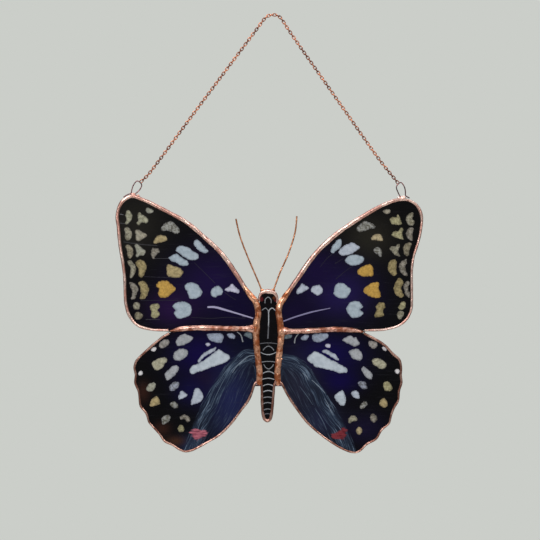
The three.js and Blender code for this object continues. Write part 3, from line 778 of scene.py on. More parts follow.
HINDWING_SPOTS = {
    "left": [
        ("silver", [[-59.8, -10.2], [-58.4, -6.5], [-54.1, -4.5], [-51.2, -5.4], [-48.5, -7], [-51.2, -9.9],
            [-55.4, -12], [-59, -11.9]]),
        ("stone grey", [[-70.7, -11.8], [-68.6, -8.6], [-65, -8.2], [-64, -9.9], [-66.4, -12.8],
            [-69.7, -13.8]]),
        ("bright white", [[-75.8, -15], [-74, -13.1], [-72.3, -13.4], [-73.6, -15.6]]),
        ("silver", [[-61.3, -17.3], [-59.2, -15], [-54.5, -14.1], [-51.9, -15.4], [-52.9, -18.8],
            [-56.3, -21.4], [-60.4, -21.5]]),
        ("pale gold", [[-75.4, -23], [-72.6, -21.1], [-67, -19.6], [-65.3, -21], [-67.2, -24.6],
            [-70.7, -27.8], [-73.6, -27.7], [-75, -25.4]]),
        ("silver", [[-66.9, -30.4], [-64, -26.9], [-60.2, -24.9], [-57.8, -26.2], [-59.8, -30.4],
            [-63, -33.3], [-65.4, -34.4]]),
        ("bright white", [[-84.3, -29.9], [-83.2, -28.5], [-81.6, -28.9], [-81.2, -30.6], [-82.6, -31.6],
            [-83.9, -31.1]]),
        ("silver olive", [[-79, -39.7], [-76.8, -36.5], [-74, -35.8], [-72.9, -37.6], [-75.3, -41.7],
            [-78.4, -41.6]]),
        ("slate grey", [[-64.3, -40.3], [-62.7, -36.8], [-59.2, -35.4], [-57.4, -36.4], [-59.5, -40],
            [-63.2, -41.6]]),
        ("lilac white", [[-58.2, -47], [-57.4, -42.9], [-55.6, -41.1], [-53.8, -42.8], [-52.6, -44.3],
            [-55.4, -46.3]]),
        ("lilac white", [[-49.8, -50.5], [-48.9, -44.7], [-47.2, -39.8], [-45, -39.9], [-42, -44.4],
            [-43.2, -47.6], [-47.2, -49.9]]),
        ("tan gold", [[-76.6, -51.1], [-75.4, -47], [-73.1, -44.7], [-70.8, -46.3], [-70.2, -49.8],
            [-73.2, -51.2]]),
        ("mica grey", [[-63.7, -50], [-61.8, -48.3], [-59.2, -49.2], [-58.3, -52], [-59.6, -52.8],
            [-62.4, -51.8]]),
        ("mica grey", [[-69, -60.4], [-67.2, -57.4], [-64.6, -57.2], [-63.5, -59.8], [-65.4, -62.4],
            [-68.4, -62.9]]),
        ("smoke grey", [[-57.4, -58.5], [-54.6, -56.7], [-51.6, -58.1], [-50.6, -60.6], [-52.2, -61.9],
            [-54, -60], [-56.6, -60.1]]),
        ("lime olive", [[-58.6, -65.8], [-57.6, -63.7], [-55.6, -63.6], [-54.4, -65.4], [-54.9, -67.6],
            [-56.8, -68.2], [-58.2, -67.4]]),
        ("blue grey", [[-39.9, -4.6], [-35, -4.2], [-29.3, -4.6], [-29.1, -8], [-31.2, -10.4], [-34.6, -10],
            [-38.6, -7.6]]),
        ("blue grey", [[-26.8, -4.8], [-23, -4.4], [-21.3, -5.8], [-22.1, -7.7], [-24.9, -7]]),
        ("sea grey", [[-16.1, -5.5], [-13.6, -3.2], [-10.9, -4], [-10.5, -7.4], [-13.6, -6.5]]),
        ("lilac", [[-40.8, -10.8], [-39, -10], [-37.4, -11.4], [-38.8, -12.5]]),
        ("lilac white", [[-45.6, -22.2], [-44.1, -19.3], [-41.2, -16.4], [-37.1, -14.3], [-33.9, -13],
            [-34.4, -15], [-38.9, -17.8], [-42.7, -20.8], [-45, -23.1]]),
        ("frost white", [[-50.9, -27.8], [-49.2, -25.3], [-43.8, -22.7], [-39.1, -19.8], [-34.5, -16.3],
            [-31.8, -14.5], [-28.3, -16.5], [-25.2, -18.1], [-24.7, -20.2], [-29.5, -23.6], [-35.3, -25.8],
            [-44.1, -28.8], [-49.6, -30.5]]),
    ],
    "right": [
        ("silver", [[48.5, -8.4], [51, -6.2], [53.6, -5.7], [55.4, -6.7], [57, -6.5], [58, -8.3],
            [59.4, -10.2], [58.4, -12], [55, -12.2], [51.4, -10.4]]),
        ("stone grey", [[64.8, -9.5], [68, -9.1], [70.7, -10.2], [71, -12.6], [69, -14.2], [66.3, -12.8]]),
        ("bright white", [[74.1, -13], [75.2, -12.9], [77.1, -14.7], [76.2, -15.7], [74.5, -14.6]]),
        ("silver", [[52.3, -16], [54.3, -14.6], [58.6, -14.5], [60.8, -17.2], [61, -20.6], [59.2, -21.6],
            [55, -20.5], [53.2, -18.4]]),
        ("pale gold", [[67.5, -21.3], [69.8, -20.3], [73.6, -21.1], [76.2, -23], [76.7, -25.6],
            [73.6, -27.4], [70.4, -25.7], [67.7, -23.4]]),
        ("silver", [[60.5, -27.2], [62, -25.5], [65.2, -28], [67.6, -30.4], [67.1, -34], [64.9, -33.7],
            [62.1, -30.4]]),
        ("bright white", [[82.3, -28.7], [83.2, -27.4], [84.8, -27.6], [85.3, -29.2], [84.1, -30.3],
            [82.8, -29.9]]),
        ("lime olive", [[75, -36], [77.1, -35.3], [79.9, -37.3], [80.7, -40.4], [78.8, -41.6], [75.8, -41],
            [74.8, -38.4]]),
        ("slate grey", [[58.1, -36.2], [60.4, -34.8], [63.1, -36.1], [64.4, -39.8], [61.8, -40.5],
            [59.2, -38.4]]),
        ("lilac white", [[54.2, -42.8], [56.4, -40.9], [58.3, -42], [59.4, -46], [57.9, -46.5],
            [55, -45.1]]),
        ("frost white", [[43, -45.7], [45.4, -42.5], [48, -41.1], [49.9, -43.8], [50.1, -49.8],
            [48.8, -51.2], [45.4, -49.2]]),
        ("tan gold", [[72, -48.8], [74.8, -45.8], [77, -48.4], [77.6, -51.4], [74.8, -52.1],
            [72.4, -50.4]]),
        ("mica grey", [[59.8, -50.8], [61.4, -48.8], [63.4, -48.5], [64.7, -50], [62.2, -52.6],
            [60.1, -52.9]]),
        ("olive grey", [[51.8, -60.4], [53.4, -58], [56.3, -57.5], [57.9, -60.2], [54.9, -61.4],
            [52.7, -62.6]]),
        ("smoke grey", [[66.4, -57.8], [68, -56.2], [70.4, -57.5], [70.8, -60.2], [68.8, -62], [67, -61]]),
        ("peach", [[57.1, -66.8], [58.6, -64.9], [60.6, -65.8], [61, -68], [59.2, -69.8], [57.4, -68.8]]),
        ("blue grey", [[28.6, -5.5], [31, -4.5], [38.9, -4.6], [38.6, -7], [35.3, -9.3], [31.6, -10.2],
            [29.2, -8.5]]),
        ("sea grey", [[31.4, -6.7], [32.6, -5.9], [34.4, -6.1], [34.8, -7], [33.4, -7.5], [31.9, -7.4]]),
        ("blue grey", [[21.3, -7.6], [22.6, -5.6], [26.6, -5.4], [25.2, -7.9], [22.8, -8.9]]),
        ("sea grey", [[10.4, -7.9], [11.5, -5], [15.7, -5.1], [14.8, -6.7]]),
        ("lilac", [[37.1, -12.1], [38.6, -11], [40.4, -11.4], [40.6, -12.6], [38.8, -13.3]]),
        ("lilac white", [[34.3, -15.5], [37, -14.7], [41, -16.3], [44.8, -18.8], [46, -21.4], [42.4, -20.5],
            [38.6, -18.1], [35.4, -16.3]]),
        ("frost white", [[25.1, -20.8], [27.2, -17.9], [31, -15.9], [36.5, -18.7], [41.8, -21.7],
            [48, -24.9], [51.3, -27.2], [50.8, -29.7], [46, -29.5], [40, -27.8], [34.6, -26.6], [31.3, -26],
            [28.6, -23.8]]),
    ],
}
EYE_SPOTS = [
    ("eye red", [[-5.7, 19.1], [-4.3, 19.7], [-2.8, 18.2], [-3.3, 16.5], [-5, 16.8], [-5.9, 17.9]]),
    ("eye amber", [[2.9, 18.9], [3.7, 19.9], [4.8, 19.6], [4.6, 18.2], [3.6, 17.7]]),
    ("eye red", [[4.7, 19.6], [5.6, 18.7], [5.9, 17.4], [5.3, 16.3], [4.1, 16.3], [3.5, 17.5], [4.5, 18]]),
]

# Painted lines, each with its widths from start to end
FOREWING_LINES = {
    "left": [
        ("line lilac", [1.2, 1.5, 1.1, 0.9, 0.8], [[-39.3, 12.9], [-34.6, 12.9], [-27.8, 11.1], [-17, 7.9],
            [-9.8, 5.7]]),
        ("line faint", [0.3, 0.4], [[-48, 41.9], [-40.4, 34.4], [-34.6, 28.6]]),
        ("line faint", [0.4, 0.3], [[-28.2, 22.5], [-24.2, 19.6], [-21, 17.6]]),
        ("line faint", [0.3, 0.4, 0.3], [[-49.8, 6.3], [-36.8, 5.6], [-26, 6.3], [-14.8, 5.4]]),
        ("line faint", [0.3, 0.35], [[-80, 32.7], [-68, 32.2], [-56, 32.1]]),
        ("line faint", [0.35, 0.3], [[-82.7, 17.1], [-70, 17.3], [-56, 17.2]]),
        ("line dim", [0.4, 0.3], [[-79, 4.9], [-70.4, 4.9]]),
        ("line grey", [0.4, 0.3], [[-96, 73.2], [-93.9, 72.8]]),
        ("line dim", [0.4, 0.3], [[-96, 67.3], [-90.5, 66.8]]),
        ("line dim", [0.35, 0.4, 0.3], [[-93.6, 55.2], [-83.5, 53.7], [-72, 52.8]]),
        ("line dim", [0.3, 0.3], [[-74.7, 44.4], [-64.5, 44.5]]),
    ],
    "right": [
        ("line violet", [0.8, 1, 0.5], [[10.2, 3.9], [17.4, 6.5], [28.2, 9.7], [40.2, 12.2]]),
        ("line faint", [0.3, 0.4], [[33.9, 39], [37.9, 44.1], [41.5, 47.3]]),
        ("line faint", [0.4, 0.3], [[43.6, 41.2], [48.7, 44.4]]),
        ("line faint", [0.4, 0.3], [[44, 31.1], [50.1, 36.2], [54.1, 39]]),
    ],
}
HINDWING_LINES = {
    "left": [
        ("line silver", [0.5, 0.7, 0.9], [[-20.1, -3.2], [-17.7, -5.2], [-16.4, -9.6]]),
        ("hair pale", [0.3, 0.55, 0.3], [[-7.6, -18.6], [-9.8, -18.4], [-12.5, -19], [-15.2, -20.8],
            [-18.3, -23.4], [-20.7, -25.8], [-23, -29.6]]),
        ("hair grey", [0.3, 0.5, 0.3], [[-9.5, -20.4], [-12.7, -21.7], [-16.3, -23.1], [-18.6, -24.8]]),
        ("hair grey", [0.3, 0.45, 0.2], [[-20, -20.5], [-25.5, -26], [-30, -32.5], [-33.5, -39]]),
        ("hair grey", [0.2, 0.45, 0.3], [[-24.5, -27.5], [-29, -35], [-33.5, -44], [-37, -52]]),
        ("hair grey", [0.2, 0.4, 0.2], [[-34, -38], [-38, -46.5], [-42, -56], [-45, -64]]),
    ],
    "right": [
        ("line silver", [0.5, 0.7, 0.8], [[19.5, -4.6], [17.8, -7], [17.1, -10.5]]),
        ("line violet", [0.6, 0.9], [[12.2, -6.8], [15.5, -5.5]]),
        ("hair grey", [0.2, 0.5, 0.3], [[8.5, -19.6], [13, -19.8], [17.1, -20.8], [20.7, -24]]),
        ("hair pale", [0.3, 0.5, 0.2], [[22.4, -29.9], [25.1, -32.2], [25.9, -34.3]]),
        ("hair pale", [0.3, 0.55, 0.3], [[28.3, -34.3], [31.2, -36.9], [34.2, -39.8], [37.1, -43.1]]),
        ("hair grey", [0.3, 0.5, 0.2], [[38.3, -44.3], [40.7, -49], [43, -55]]),
        ("hair pale", [0.2, 0.5, 0.2], [[36.7, -46.7], [39, -50.3], [40.7, -54.7], [42.3, -57.3]]),
        ("hair grey", [0.2, 0.4, 0.2], [[20.7, -38.7], [24.7, -44], [29, -50.5]]),
        ("hair grey", [0.2, 0.45, 0.2], [[30.3, -52.7], [33.3, -57.3], [36, -62], [38, -66.7]]),
    ],
}
BODY_LINES = [
    ("line silver", [0.5, 0.55, 0.5], [[-2, 15.8], [-1.8, 17.9], [0, 19.4], [1.8, 17.9], [2, 15.8]]),
    ("line silver", [0.45, 0.55], [[-3.8, 11], [-1.8, 12.3], [-0.6, 11.5], [0.3, 10.1]]),
    ("line white", [0.6, 0.65, 0.45], [[0.3, 10.1], [1.1, 11.4], [2.7, 12.3], [4.6, 10.9]]),
    ("line white", [0.65, 0.65], [[0.3, 10.1], [0.4, 5.6], [0.3, 0.8]]),
    ("line grey", [0.7, 0.9], [[0.3, 0.8], [0.1, -3.4], [-0.1, -7.2]]),
    ("line grey", [0.5, 0.45], arch(-5.8, 6.1, -10.9, 0.6)),
    ("line silver", [0.4, 0.5], arch(-3.2, 3.7, -15.0, 2.6)),
    ("line white", [0.4, 0.65, 0.4], arch(-4.7, 4.9, -16.5, -1.4)),
    ("line silver", [0.5, 0.5], arch(-3.9, 4.4, -22.7, 0.4)),
    ("line silver", [0.5, 0.5], arch(-2.7, 3.4, -24.5, -2.7)),
    ("line white", [0.5, 0.55], arch(-3.7, 4.0, -30.3, 1.4)),
    ("line white", [0.55, 0.55], arch(-3.6, 3.7, -33.9, 0.7)),
    ("line white", [0.5, 0.6], arch(-3.6, 3.7, -38.5, 1.3)),
    ("line white", [0.6, 0.65], arch(-3.5, 3.5, -42.3, 1.1)),
    ("line silver", [0.6, 0.6], arch(-3.4, 3.2, -46, 0.6)),
    ("line silver", [0.6, 0.6], arch(-3.2, 2.7, -49.8, 0.8)),
    ("line silver", [0.55, 0.55], arch(-2.8, 2.5, -53.8, 0.7)),
    ("line grey", [0.55, 0.55], arch(-2.1, 1.3, -56.6, 0.4)),
]

# Soft tints in the black ground, some of them painted reflections in its gloss: a colour, the middle
# of its cloud and the cloud's half sizes
FOREWING_TINTS_AND_REFLECTIONS = {
    # The first, grey cloud on each side is a painted reflection: the room's sheen on the upper forewing
    "left": [("#1b1a17", [-86, 66], [18, 20]), ("#150a34", [-36, 28], [24, 20]),
        ("#1e0c34", [-62, 12], [15, 11]), ("#0b0526", [-20, 12], [16, 12])],
    "right": [("#1e1d18", [66, 58], [16, 14]), ("#1a1240", [46, 22], [20, 16]),
        ("#12082e", [32, 36], [16, 14]), ("#0d0626", [18, 10], [14, 12])],
}
HINDWING_TINTS_AND_REFLECTIONS = {
    "left": [("#0c0436", [-44, -18], [18, 14]), ("#12061a", [-41, -35], [9, 7]),
        ("#0b0830", [-50, -41], [10, 9]), ("#03051a", [-14, -10], [10, 6]),
        ("#181c44", [-24, -48], [14, 24]), ("#1a2440", [-50, -77], [7, 6]),
        # These three brown clouds by the outer edge are painted reflections of the copper rim in the glass
        ("#2a1712", [-81, -42], [4, 6]), ("#2a1712", [-69, -66], [5, 4]), ("#36221a", [-60, -74], [6, 3])],
    "right": [("#0c063a", [38, -18], [22, 12]), ("#0b0436", [46, -35], [12, 8]),
        ("#100c24", [62, -66], [14, 10]), ("#1c1c2c", [20, -38], [12, 20]), ("#1a1c34", [34, -60], [12, 12])],
}

# Where the grey hairs of a hindwing begin; they lie along this line, from it towards the body
HAIR_EDGES = {
    "left": [[-6, -14.2], [-10, -14.4], [-14.8, -14.6], [-19.2, -17.5], [-23.6, -20.8], [-27.7, -25.2],
        [-31.8, -31.3], [-37.4, -39.8], [-39.6, -44.4], [-44, -52.7], [-48.7, -64.3], [-52.3, -73.7],
        [-55.3, -81]],
    "right": [[5, -16.5], [10.1, -17.4], [17.1, -18.7], [20.7, -20.8], [24.2, -23.1], [27.4, -26.9],
        [29.9, -31.3], [35.3, -39], [40, -46.3], [45.3, -55.6], [50, -64.3], [54.7, -74.3], [58, -82]],
}
RED_PATCHES = {
    "left": ("madder red", [[-50.5, -68.7], [-48, -66.2], [-43.7, -66.7], [-40, -67.7], [-39.6, -70.5],
        [-43.7, -72.7], [-46, -73.6], [-49.7, -71]]),
    "right": ("crimson", [[41.3, -69.7], [45, -67.6], [49.3, -64.9], [51, -67.9], [49.8, -72.4],
        [46.3, -73.2], [42, -72.2]]),
}


# Panes of glass

def signed_distance(places, polygon):
    """The distance from each place to a closed outline, below zero inside it."""
    nearest = np.full(len(places), 1e9)
    inside = np.zeros(len(places), bool)
    for start, end in zip(polygon, np.roll(polygon, -1, axis=0)):
        edge = end - start
        share = np.clip((places - start) @ edge / max(edge @ edge, 1e-12), 0, 1)
        nearest = np.minimum(nearest, np.linalg.norm(places - start - share[:, None] * edge, axis=1))
        crosses = (start[1] > places[:, 1]) != (end[1] > places[:, 1])
        rise = end[1] - start[1]
        where = start[0] + (places[:, 1] - start[1]) / (rise if rise else 1e-12) * edge[0]
        inside ^= crosses & (places[:, 0] < where)
    return np.where(inside, -nearest, nearest)


def pane(outline, grid=PANE_GRID):
    """A sheet of glass cut to an outline, in small facets that hold the paint's edges."""
    bm = bmesh.new()
    bm.faces.new([bm.verts.new((right, -GLASS / 2, up)) for right, up in outline])
    for axis, normal in ((0, (1, 0, 0)), (1, (0, 0, 1))):
        low, high = outline[:, axis].min(), outline[:, axis].max()
        for place in np.arange(low + grid, high, grid):
            geometry = bm.verts[:] + bm.edges[:] + bm.faces[:]
            bmesh.ops.bisect_plane(bm, geom=geometry, dist=1e-5,
                plane_co=[place * n for n in normal], plane_no=normal)
    made = bmesh.ops.extrude_face_region(bm, geom=bm.faces[:])["geom"]
    back = [item for item in made if isinstance(item, bmesh.types.BMVert)]
    bmesh.ops.translate(bm, verts=back, vec=(0, GLASS, 0))
    bmesh.ops.recalc_face_normals(bm, faces=bm.faces)
    for vertex in bm.verts:
        vertex.co.y += GLASS_WAVE * noise.noise(vertex.co / GLASS_WAVE_LENGTH)
    return bm


def pane_places(mesh):
    """The [right, up] of each of a pane's points, with those of the unpainted back put far away."""
    flat = np.empty(len(mesh.vertices) * 3)
    mesh.vertices.foreach_get("co", flat)
    points = flat.reshape(-1, 3) / MM - np.array(BUTTERFLY_PLACE)
    return np.where(points[:, 1:2] < 0, points[:, [0, 2]], OUT_OF_REACH)


def store(mesh, name, values, kind="FLOAT"):
    """Keeps one number, vector or colour for each point of a mesh."""
    field = {"FLOAT": "value", "FLOAT_VECTOR": "vector", "FLOAT_COLOR": "color"}[kind]
    mesh.attributes.new(name, kind, "POINT").data.foreach_set(field, np.ravel(values))


def near_outline(places, outline, margin):
    """The numbers of the places that lie within an outline's box and a margin round it."""
    low, high = outline.min(axis=0) - margin, outline.max(axis=0) + margin
    return np.flatnonzero(np.all((places > low) & (places < high), axis=1))


def enamel(name):
    """An enamel's linear colour, darkened by the painted shade over all the enamel, with its mica in place of
    alpha.
    """
    colour, mica = PALETTE[name]
    return tuple(channel * ENAMEL_PAINTED_SHADE for channel in linear(colour)[:3]) + (mica,)


def paint_spots(mesh, places, spots):
    """Stores the way to the nearest spot's edge, below zero inside it, and that spot's enamel."""
    edge = np.full(len(places), FAR)
    paint = np.tile(enamel("silver"), (len(places), 1))
    for name, outline in spots:
        polygon = smooth_curve(outline, SPOT_STEP, closed=True)
        index = near_outline(places, polygon, OUTLINE_MARGIN)
        distance = signed_distance(places[index], polygon)
        closer = distance < edge[index]
        edge[index[closer]] = distance[closer]
        paint[index[closer]] = enamel(name)
    store(mesh, "spot_edge", edge)
    store(mesh, "spot_paint", paint, "FLOAT_COLOR")


def paint_lines(mesh, places, lines):
    """Stores how far to the side of the nearest line's middle a point is, and half that line's width."""
    across = np.full(len(places), FAR)
    half = np.full(len(places), -FAR)
    paint = np.tile(enamel("line grey"), (len(places), 1))
    for name, widths, points in lines:
        curve = smooth_curve(points, LINE_STEP)
        half_widths = np.interp(np.linspace(0, 1, len(curve)), np.linspace(0, 1, len(widths)), widths) / 2
        index = near_outline(places, curve, OUTLINE_MARGIN)
        last = len(curve) - 2
        for step, (start, end) in enumerate(zip(curve, curve[1:])):
            edge = end - start
            away = places[index] - start
            share = away @ edge / (edge @ edge)
            side = (edge[0] * away[:, 1] - edge[1] * away[:, 0]) / np.linalg.norm(edge)
            low = -LINE_CAP if step == 0 else -LINE_OVERLAP
            high = 1 + (LINE_CAP if step == last else LINE_OVERLAP)
            hit = (share >= low) & (share <= high) & (np.abs(side) < LINE_REACH)
            hit &= np.abs(side) < np.abs(across[index])
            across[index[hit]] = side[hit]
            half[index[hit]] = half_widths[step]
            paint[index[hit]] = enamel(name)
    store(mesh, "line_across", across)
    store(mesh, "line_half", half)
    store(mesh, "line_paint", paint, "FLOAT_COLOR")


def paint_ground(mesh, places, tints_and_reflections):
    """Stores the ground's colour: near black, with soft clouds of violet, and painted reflections in grey and
    brown.
    """
    ground = np.tile(linear(GROUND), (len(places), 1))
    for colour, middle, sizes in tints_and_reflections:
        apart = ((places - middle) / sizes) ** 2
        cloud = np.exp(-apart.sum(axis=1))[:, None]
        ground = ground * (1 - cloud) + np.array(linear(colour)) * cloud
    store(mesh, "ground", ground, "FLOAT_COLOR")


def paint_hairs(mesh, places, edge_points, patch):
    """Stores where the grey hairs lie, and the red patch at their end."""
    if not patch:
        store(mesh, "strand", np.tile((-FAR, 0.0, 0.0), (len(places), 1)), "FLOAT_VECTOR")
        store(mesh, "patch_edge", np.full(len(places), FAR))
        return
    patch_name, patch_points = patch
    curve = smooth_curve(edge_points, OUTLINE_STEP)
    middle = np.array([[0.0, curve[-1][1] - HAIRS_PAST_FOOT], [0.0, curve[0][1]]])
    inwards = -signed_distance(places, np.vstack([curve, middle]))
    nearest = np.full(len(places), 1e9)
    along = np.zeros(len(places))
    for step, point in enumerate(curve):
        apart = np.linalg.norm(places - point, axis=1)
        closer = apart < nearest
        nearest[closer] = apart[closer]
        along[closer] = step
    shoulder = curve[len(curve) // 3]
    lean = (curve[-1] - shoulder) / np.linalg.norm(curve[-1] - shoulder)
    straight_along = (places - shoulder) @ lean + len(curve) // 3
    straight_across = np.abs((places - shoulder) @ np.array([-lean[1], lean[0]]))
    far_in = np.clip((inwards - HAIRS_FOLLOW) / HAIRS_TURN, 0, 1)
    across = inwards * (1 - far_in) + straight_across * far_in
    along = along * (1 - far_in) + straight_along * far_in
    strand = np.column_stack([inwards, across, along])
    store(mesh, "strand", strand, "FLOAT_VECTOR")
    store(mesh, "patch_edge", signed_distance(places, smooth_curve(patch_points, LINE_STEP, closed=True)))
    store(mesh, "patch_paint", np.tile(enamel(patch_name), (len(places), 1)), "FLOAT_COLOR")


def paint_pane(piece, spots, lines, tints_and_reflections=(), hairs=(), patch=()):
    mesh = piece.data
    places = pane_places(mesh)
    paint_spots(mesh, places, spots)
    paint_lines(mesh, places, lines)
    paint_ground(mesh, places, tints_and_reflections)
    paint_hairs(mesh, places, hairs, patch)


def seam_side(seam, axis, low, high, amount):
    """A seam's middle line between two distances out (axis 0) or heights (axis 1), moved aside."""
    curve = shifted(smooth_curve(seam, SEAM_SIDE_STEP), amount)
    place = np.abs(curve[:, 0]) if axis == 0 else curve[:, 1]
    return curve[(place > low) & (place < high)]


def wing_outline(side, edge, above):
    """A wing's pane: inside its rim, then along the seam between the wings and the one by the body.
    It is cut a little short at its corners, so that its sides don't cross there."""
    sign = SIDE_SIGN[side]
    starts_at_body = (side == "left") == above
    body_end, notch_end = (edge[0], edge[-1]) if starts_at_body else (edge[-1], edge[0])
    root_right, root_up = WING_SEAMS[side][0]
    away = CORNER_CUT if above else -CORNER_CUT
    low, high = sorted((root_up + away, body_end[1] - away))
    by_body = seam_side(BODY_SEAMS[side], 1, low, high, sign * WEB_SIDE)
    start, end = abs(root_right) + CORNER_CUT / 2, abs(notch_end[0]) - CORNER_CUT
    by_wing = seam_side(WING_SEAMS[side], 0, start, end, (-sign if above else sign) * WEB_SIDE)
    seams = np.vstack([by_body if above else by_body[::-1], by_wing])
    rim = shifted(smooth_curve(edge, OUTLINE_STEP), RIM_WALL)
    return np.vstack([rim, seams[::-1] if starts_at_body else seams])


def body_outline():
    """The body's pane: inside the rims of head and abdomen, and along the seams between them."""
    head, abdomen = (shifted(smooth_curve(shape["edge"], BODY_OUTLINE_STEP), RIM_WALL)
        for shape in (HEAD, ABDOMEN))
    low, high = ABDOMEN["edge"][0][1] + CORNER_CUT / 2, HEAD["edge"][0][1] - CORNER_CUT / 2
    left, right = (seam_side(BODY_SEAMS[side], 1, low, high, -SIDE_SIGN[side] * WEB_SIDE)
        for side in ("left", "right"))
    return np.vstack([head, left, abdomen, right[::-1]])


# Metalwork

def rim_section():
    """A domed bead over both faces of the glass, as (share of the cover, millimetres)."""
    lip = GLASS / 2 - LIP_SINK
    rise = RIM_HALF_THICKNESS - lip
    dome = [(s, lip + rise * (1 - abs(2 * s - 1) ** RIM_DOME)) for s in (0.94, 0.84, 0.7, 0.5, 0.32, 0.2)]
    front = [(1.0, lip)] + dome + [(0.09, lip + 0.12), (0.02, 1.05), (0.0, 0.5)]
    back = [(across, -high) for across, high in reversed(front)]
    groove = [(0.42, -lip), (0.42, 0.0), (0.42, lip)]
    return front + back + groove


def seam_section(width):
    """A domed bead over both faces, joined by a web between the panes."""
    lip = GLASS / 2 - LIP_SINK
    across = np.linspace(-1, 1, 11)
    dome = [(a * width / 2, lip + SEAM_RISE * (1 - abs(a) ** SEAM_DOME)) for a in across]
    front = [(-SEAM_WEB / 2, lip)] + dome + [(SEAM_WEB / 2, lip)]
    back = [(-a, -high) for a, high in front]
    return front + back


def store_tarnish_and_painted_shade(piece, section, rings, tarnish_and_painted_shade):
    """Keeps how darkened each point of a swept bead is by tarnish and painted shade, from its place in the
    section.
    """
    values = np.zeros(len(piece.data.vertices))
    values[:len(section) * rings] = np.tile(tarnish_and_painted_shade, rings)
    store(piece.data, "tarnish_and_painted_shade", values)


def rim_tarnish_and_painted_shade(section):
    """Darkest round the outer side, and dark again where the bead meets the glass: tarnish and painted shade
    in both places.
    """
    outside, inside = RIM_TARNISH_AND_PAINTED_SHADE_OUTSIDE, RIM_TARNISH_AND_PAINTED_SHADE_INSIDE
    return [max(1 - across / outside, (across - inside) / (1 - inside), 0.0) for across, high in section]


def seam_tarnish_and_painted_shade(section, width):
    """Tarnish and painted shade, only where the bead meets the glass."""
    return [max(abs(a) / width - SEAM_TARNISH_AND_PAINTED_SHADE, 0) * SEAM_TARNISH_AND_PAINTED_SHADE_GROWTH for a, high in section]


def add_rim(name, node, shape, material, seed, drops=()):
    curve = smooth_curve(shape["edge"], RIM_STEP)
    share = np.linspace(0, 1, len(curve))
    covers = np.interp(share, np.linspace(0, 1, len(shape["covers"])), shape["covers"])
    section = rim_section()
    bm = bmesh.new()
    sweep(bm, section, stations(curve, covers, np.ones(len(curve))))
    for drop in drops:
        add_drop(bm, drop)
    lump(bm, *RIM_LUMPS, seed)
    rim = finish_piece(bm, name, material, node)
    store_tarnish_and_painted_shade(rim, section, len(curve), rim_tarnish_and_painted_shade(section))


def tapered(count, spacing, end_lengths, least=0.12):
    """Widths along a bead: full size, and rounded off towards its start and its end."""
    gone = np.arange(count) * spacing
    share = np.clip(np.minimum(gone / end_lengths[0], gone[::-1] / end_lengths[1]), 0, 1)
    return least + (1 - least) * np.sqrt(1 - (1 - share) ** 2)


def flared(curve, spots):
    """How much wider a bead is where solder pools at [right, up, reach, share] places."""
    wider = np.ones(len(curve))
    for right, up, reach, share in spots:
        apart = np.linalg.norm(curve - np.array([right, up]), axis=1)
        wider += share * np.exp(-(apart / reach) ** 2)
    return wider


def add_drop(bm, drop):
    """A small round drop of solder, a little flattened: right, front, up, radius."""
    right, front, up, radius = drop
    place = Matrix.Translation((right, -front, up)) @ Matrix.Diagonal(DROP_SHAPE)
    bmesh.ops.create_uvsphere(bm, u_segments=18, v_segments=12, radius=radius, matrix=place)


def add_seam(name, node, points, width, material, seed, end_lengths, pools=(), drops=()):
    curve = smooth_curve(points, SEAM_STEP)
    ends = tapered(len(curve), SEAM_STEP, end_lengths)
    widths = ends * flared(curve, pools)
    section = seam_section(width)
    bm = bmesh.new()
    sweep(bm, section, stations(curve, widths, np.sqrt(ends)))
    for drop in drops:
        add_drop(bm, drop)
    lump(bm, *SEAM_LUMPS, seed)
    seam = finish_piece(bm, name, material, node)
    store_tarnish_and_painted_shade(seam, section, len(curve), seam_tarnish_and_painted_shade(section, width))


def add_wire(bm, points, diameter, spacing, sides=10):
    curve = smooth_curve(points, spacing)
    sweep(bm, round_section(diameter, sides), stations(curve, np.ones(len(curve))))


def add_antenna(side, material):
    bm = bmesh.new()
    add_wire(bm, ANTENNAE[side], ANTENNA_WIRE, ANTENNA_STEP)
    right, up = ANTENNAE[side][-1]
    add_drop(bm, [right, 0.0, up + ANTENNA_DROP_RISE, ANTENNA_DROP])
    lump(bm, *ANTENNA_LUMPS, 5.0)
    finish_piece(bm, f"antenna_wire_{side}", material, f"antenna_{side}")


def add_hanging_loop(side, material):
    bm = bmesh.new()
    add_wire(bm, LOOPS[side], LOOP_WIRE, LOOP_STEP)
    lump(bm, *LOOP_LUMPS, 9.0)
    finish_piece(bm, f"loop_wire_{side}", material, f"hanging_loop_{side}")


def add_brace(material):
    bm = bmesh.new()
    middle = RIM_HALF_THICKNESS + BRACE_WIRE / 2 + BRACE_GAP
    turn = Matrix.Rotation(math.radians(90), 4, "Y")
    place = Matrix.Translation((0, middle, BRACE_HEIGHT)) @ turn
    bmesh.ops.create_cone(bm, cap_ends=True, segments=12, radius1=BRACE_WIRE / 2, radius2=BRACE_WIRE / 2,
        depth=2 * BRACE_HALF_LENGTH, matrix=place)
    finish_piece(bm, "brace_rod", material, "brace_wire")


# Chain

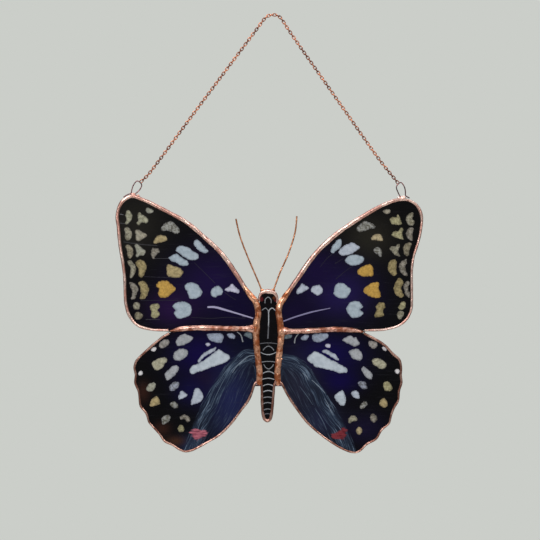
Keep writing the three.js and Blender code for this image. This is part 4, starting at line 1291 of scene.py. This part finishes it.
def add_link(bm, place):
    """One oval link, drawn round from a wire's section, its length along X."""
    ring = (LINK_WIDTH - LINK_WIRE) / 2
    stretch = (LINK_LENGTH - LINK_WIDTH) / 2
    start = Matrix.Translation((ring, 0, 0)) @ Matrix.Rotation(math.radians(90), 4, "X")
    wire = bmesh.ops.create_circle(bm, segments=LINK_SIDES, radius=LINK_WIRE / 2, matrix=start)["verts"]
    edges = list(dict.fromkeys(edge for vertex in wire for edge in vertex.link_edges))
    before = set(bm.verts) - set(wire)
    bmesh.ops.spin(bm, geom=wire + edges, cent=(0, 0, 0), axis=(0, 0, 1), angle=2 * math.pi,
        steps=LINK_STEPS, use_merge=True)
    link = [vertex for vertex in bm.verts if vertex not in before]
    for vertex in link:
        vertex.co.x += math.copysign(stretch, vertex.co.x) if abs(vertex.co.x) > 1e-4 else 0
    bmesh.ops.transform(bm, matrix=place, verts=link)


def add_chain(material):
    route = smooth_curve(CHAIN_ROUTE, LINK_PITCH)
    along = directions(route)
    bm = bmesh.new()
    for index, ((right, up), (dx, dz)) in enumerate(zip(route, along)):
        heading = Matrix.Rotation(-math.atan2(dz, dx), 4, "Y")
        turn = Matrix.Rotation(math.radians(90 * (index % 2) + 90), 4, "X")
        add_link(bm, Matrix.Translation((right, 0, up)) @ heading @ turn)
    bmesh.ops.recalc_face_normals(bm, faces=bm.faces)
    chain = finish_piece(bm, "fine_chain", material, "chain", place=(0, 0, 0))


# The whole piece

bpy.context.scene.view_settings.view_transform = "Standard"
add_camera()
add_chain(copper("copper_plated_chain"))
add_room()
add_floor()

glass = enamelled_glass()
edging = copper("copper_foil_and_solder")
dull_edging = copper("dulled_copper_foil")
solder = copper("copper_plated_solder")
rosy_solder = copper("rosy_copper_plated_solder")
wire = copper("drawn_copper_wire")
dull_wire = copper("flame_dulled_copper_wire")

for side in ("left", "right"):
    forewing = finish_piece(pane(wing_outline(side, FOREWINGS[side]["edge"], above=True)),
        f"painted_forewing_{side}", glass, f"forewing_glass_{side}")
    paint_pane(forewing, FOREWING_SPOTS[side], FOREWING_LINES[side], FOREWING_TINTS_AND_REFLECTIONS[side])
    hindwing = finish_piece(pane(wing_outline(side, HINDWINGS[side]["edge"], above=False)),
        f"painted_hindwing_{side}", glass, f"hindwing_glass_{side}")
    paint_pane(hindwing, HINDWING_SPOTS[side], HINDWING_LINES[side], HINDWING_TINTS_AND_REFLECTIONS[side],
        HAIR_EDGES[side], RED_PATCHES[side])
    add_rim(f"forewing_rim_{side}", f"forewing_edging_{side}", FOREWINGS[side], edging, 1.0,
        LOOP_DROPS[side])
    add_rim(f"hindwing_rim_{side}", f"hindwing_edging_{side}", HINDWINGS[side], dull_edging, 2.0)
    add_seam(f"bead_between_wings_{side}", f"wing_seam_{side}", WING_SEAMS[side], WING_SEAM_WIDTH,
        rosy_solder, 3.0, WING_SEAM_ENDS, WING_SEAM_POOLS[side])
    beside_body = BEAD_HEADS[side] + BODY_SEAMS[side][2:]
    add_seam(f"bead_beside_body_{side}", f"body_seam_{side}", beside_body, BODY_SEAM_WIDTH,
        solder, 4.0, BODY_SEAM_ENDS, BODY_SEAM_POOLS[side], BODY_SEAM_DROPS[side])
    add_antenna(side, wire)
    add_hanging_loop(side, dull_wire)
body = finish_piece(pane(body_outline(), BODY_GRID), "painted_body", glass, "body_glass")
paint_pane(body, EYE_SPOTS, BODY_LINES)
add_rim("head_rim", "head_edging", HEAD, edging, 6.0)
add_rim("abdomen_rim", "abdomen_edging", ABDOMEN, dull_edging, 7.0)
add_brace(dull_wire)
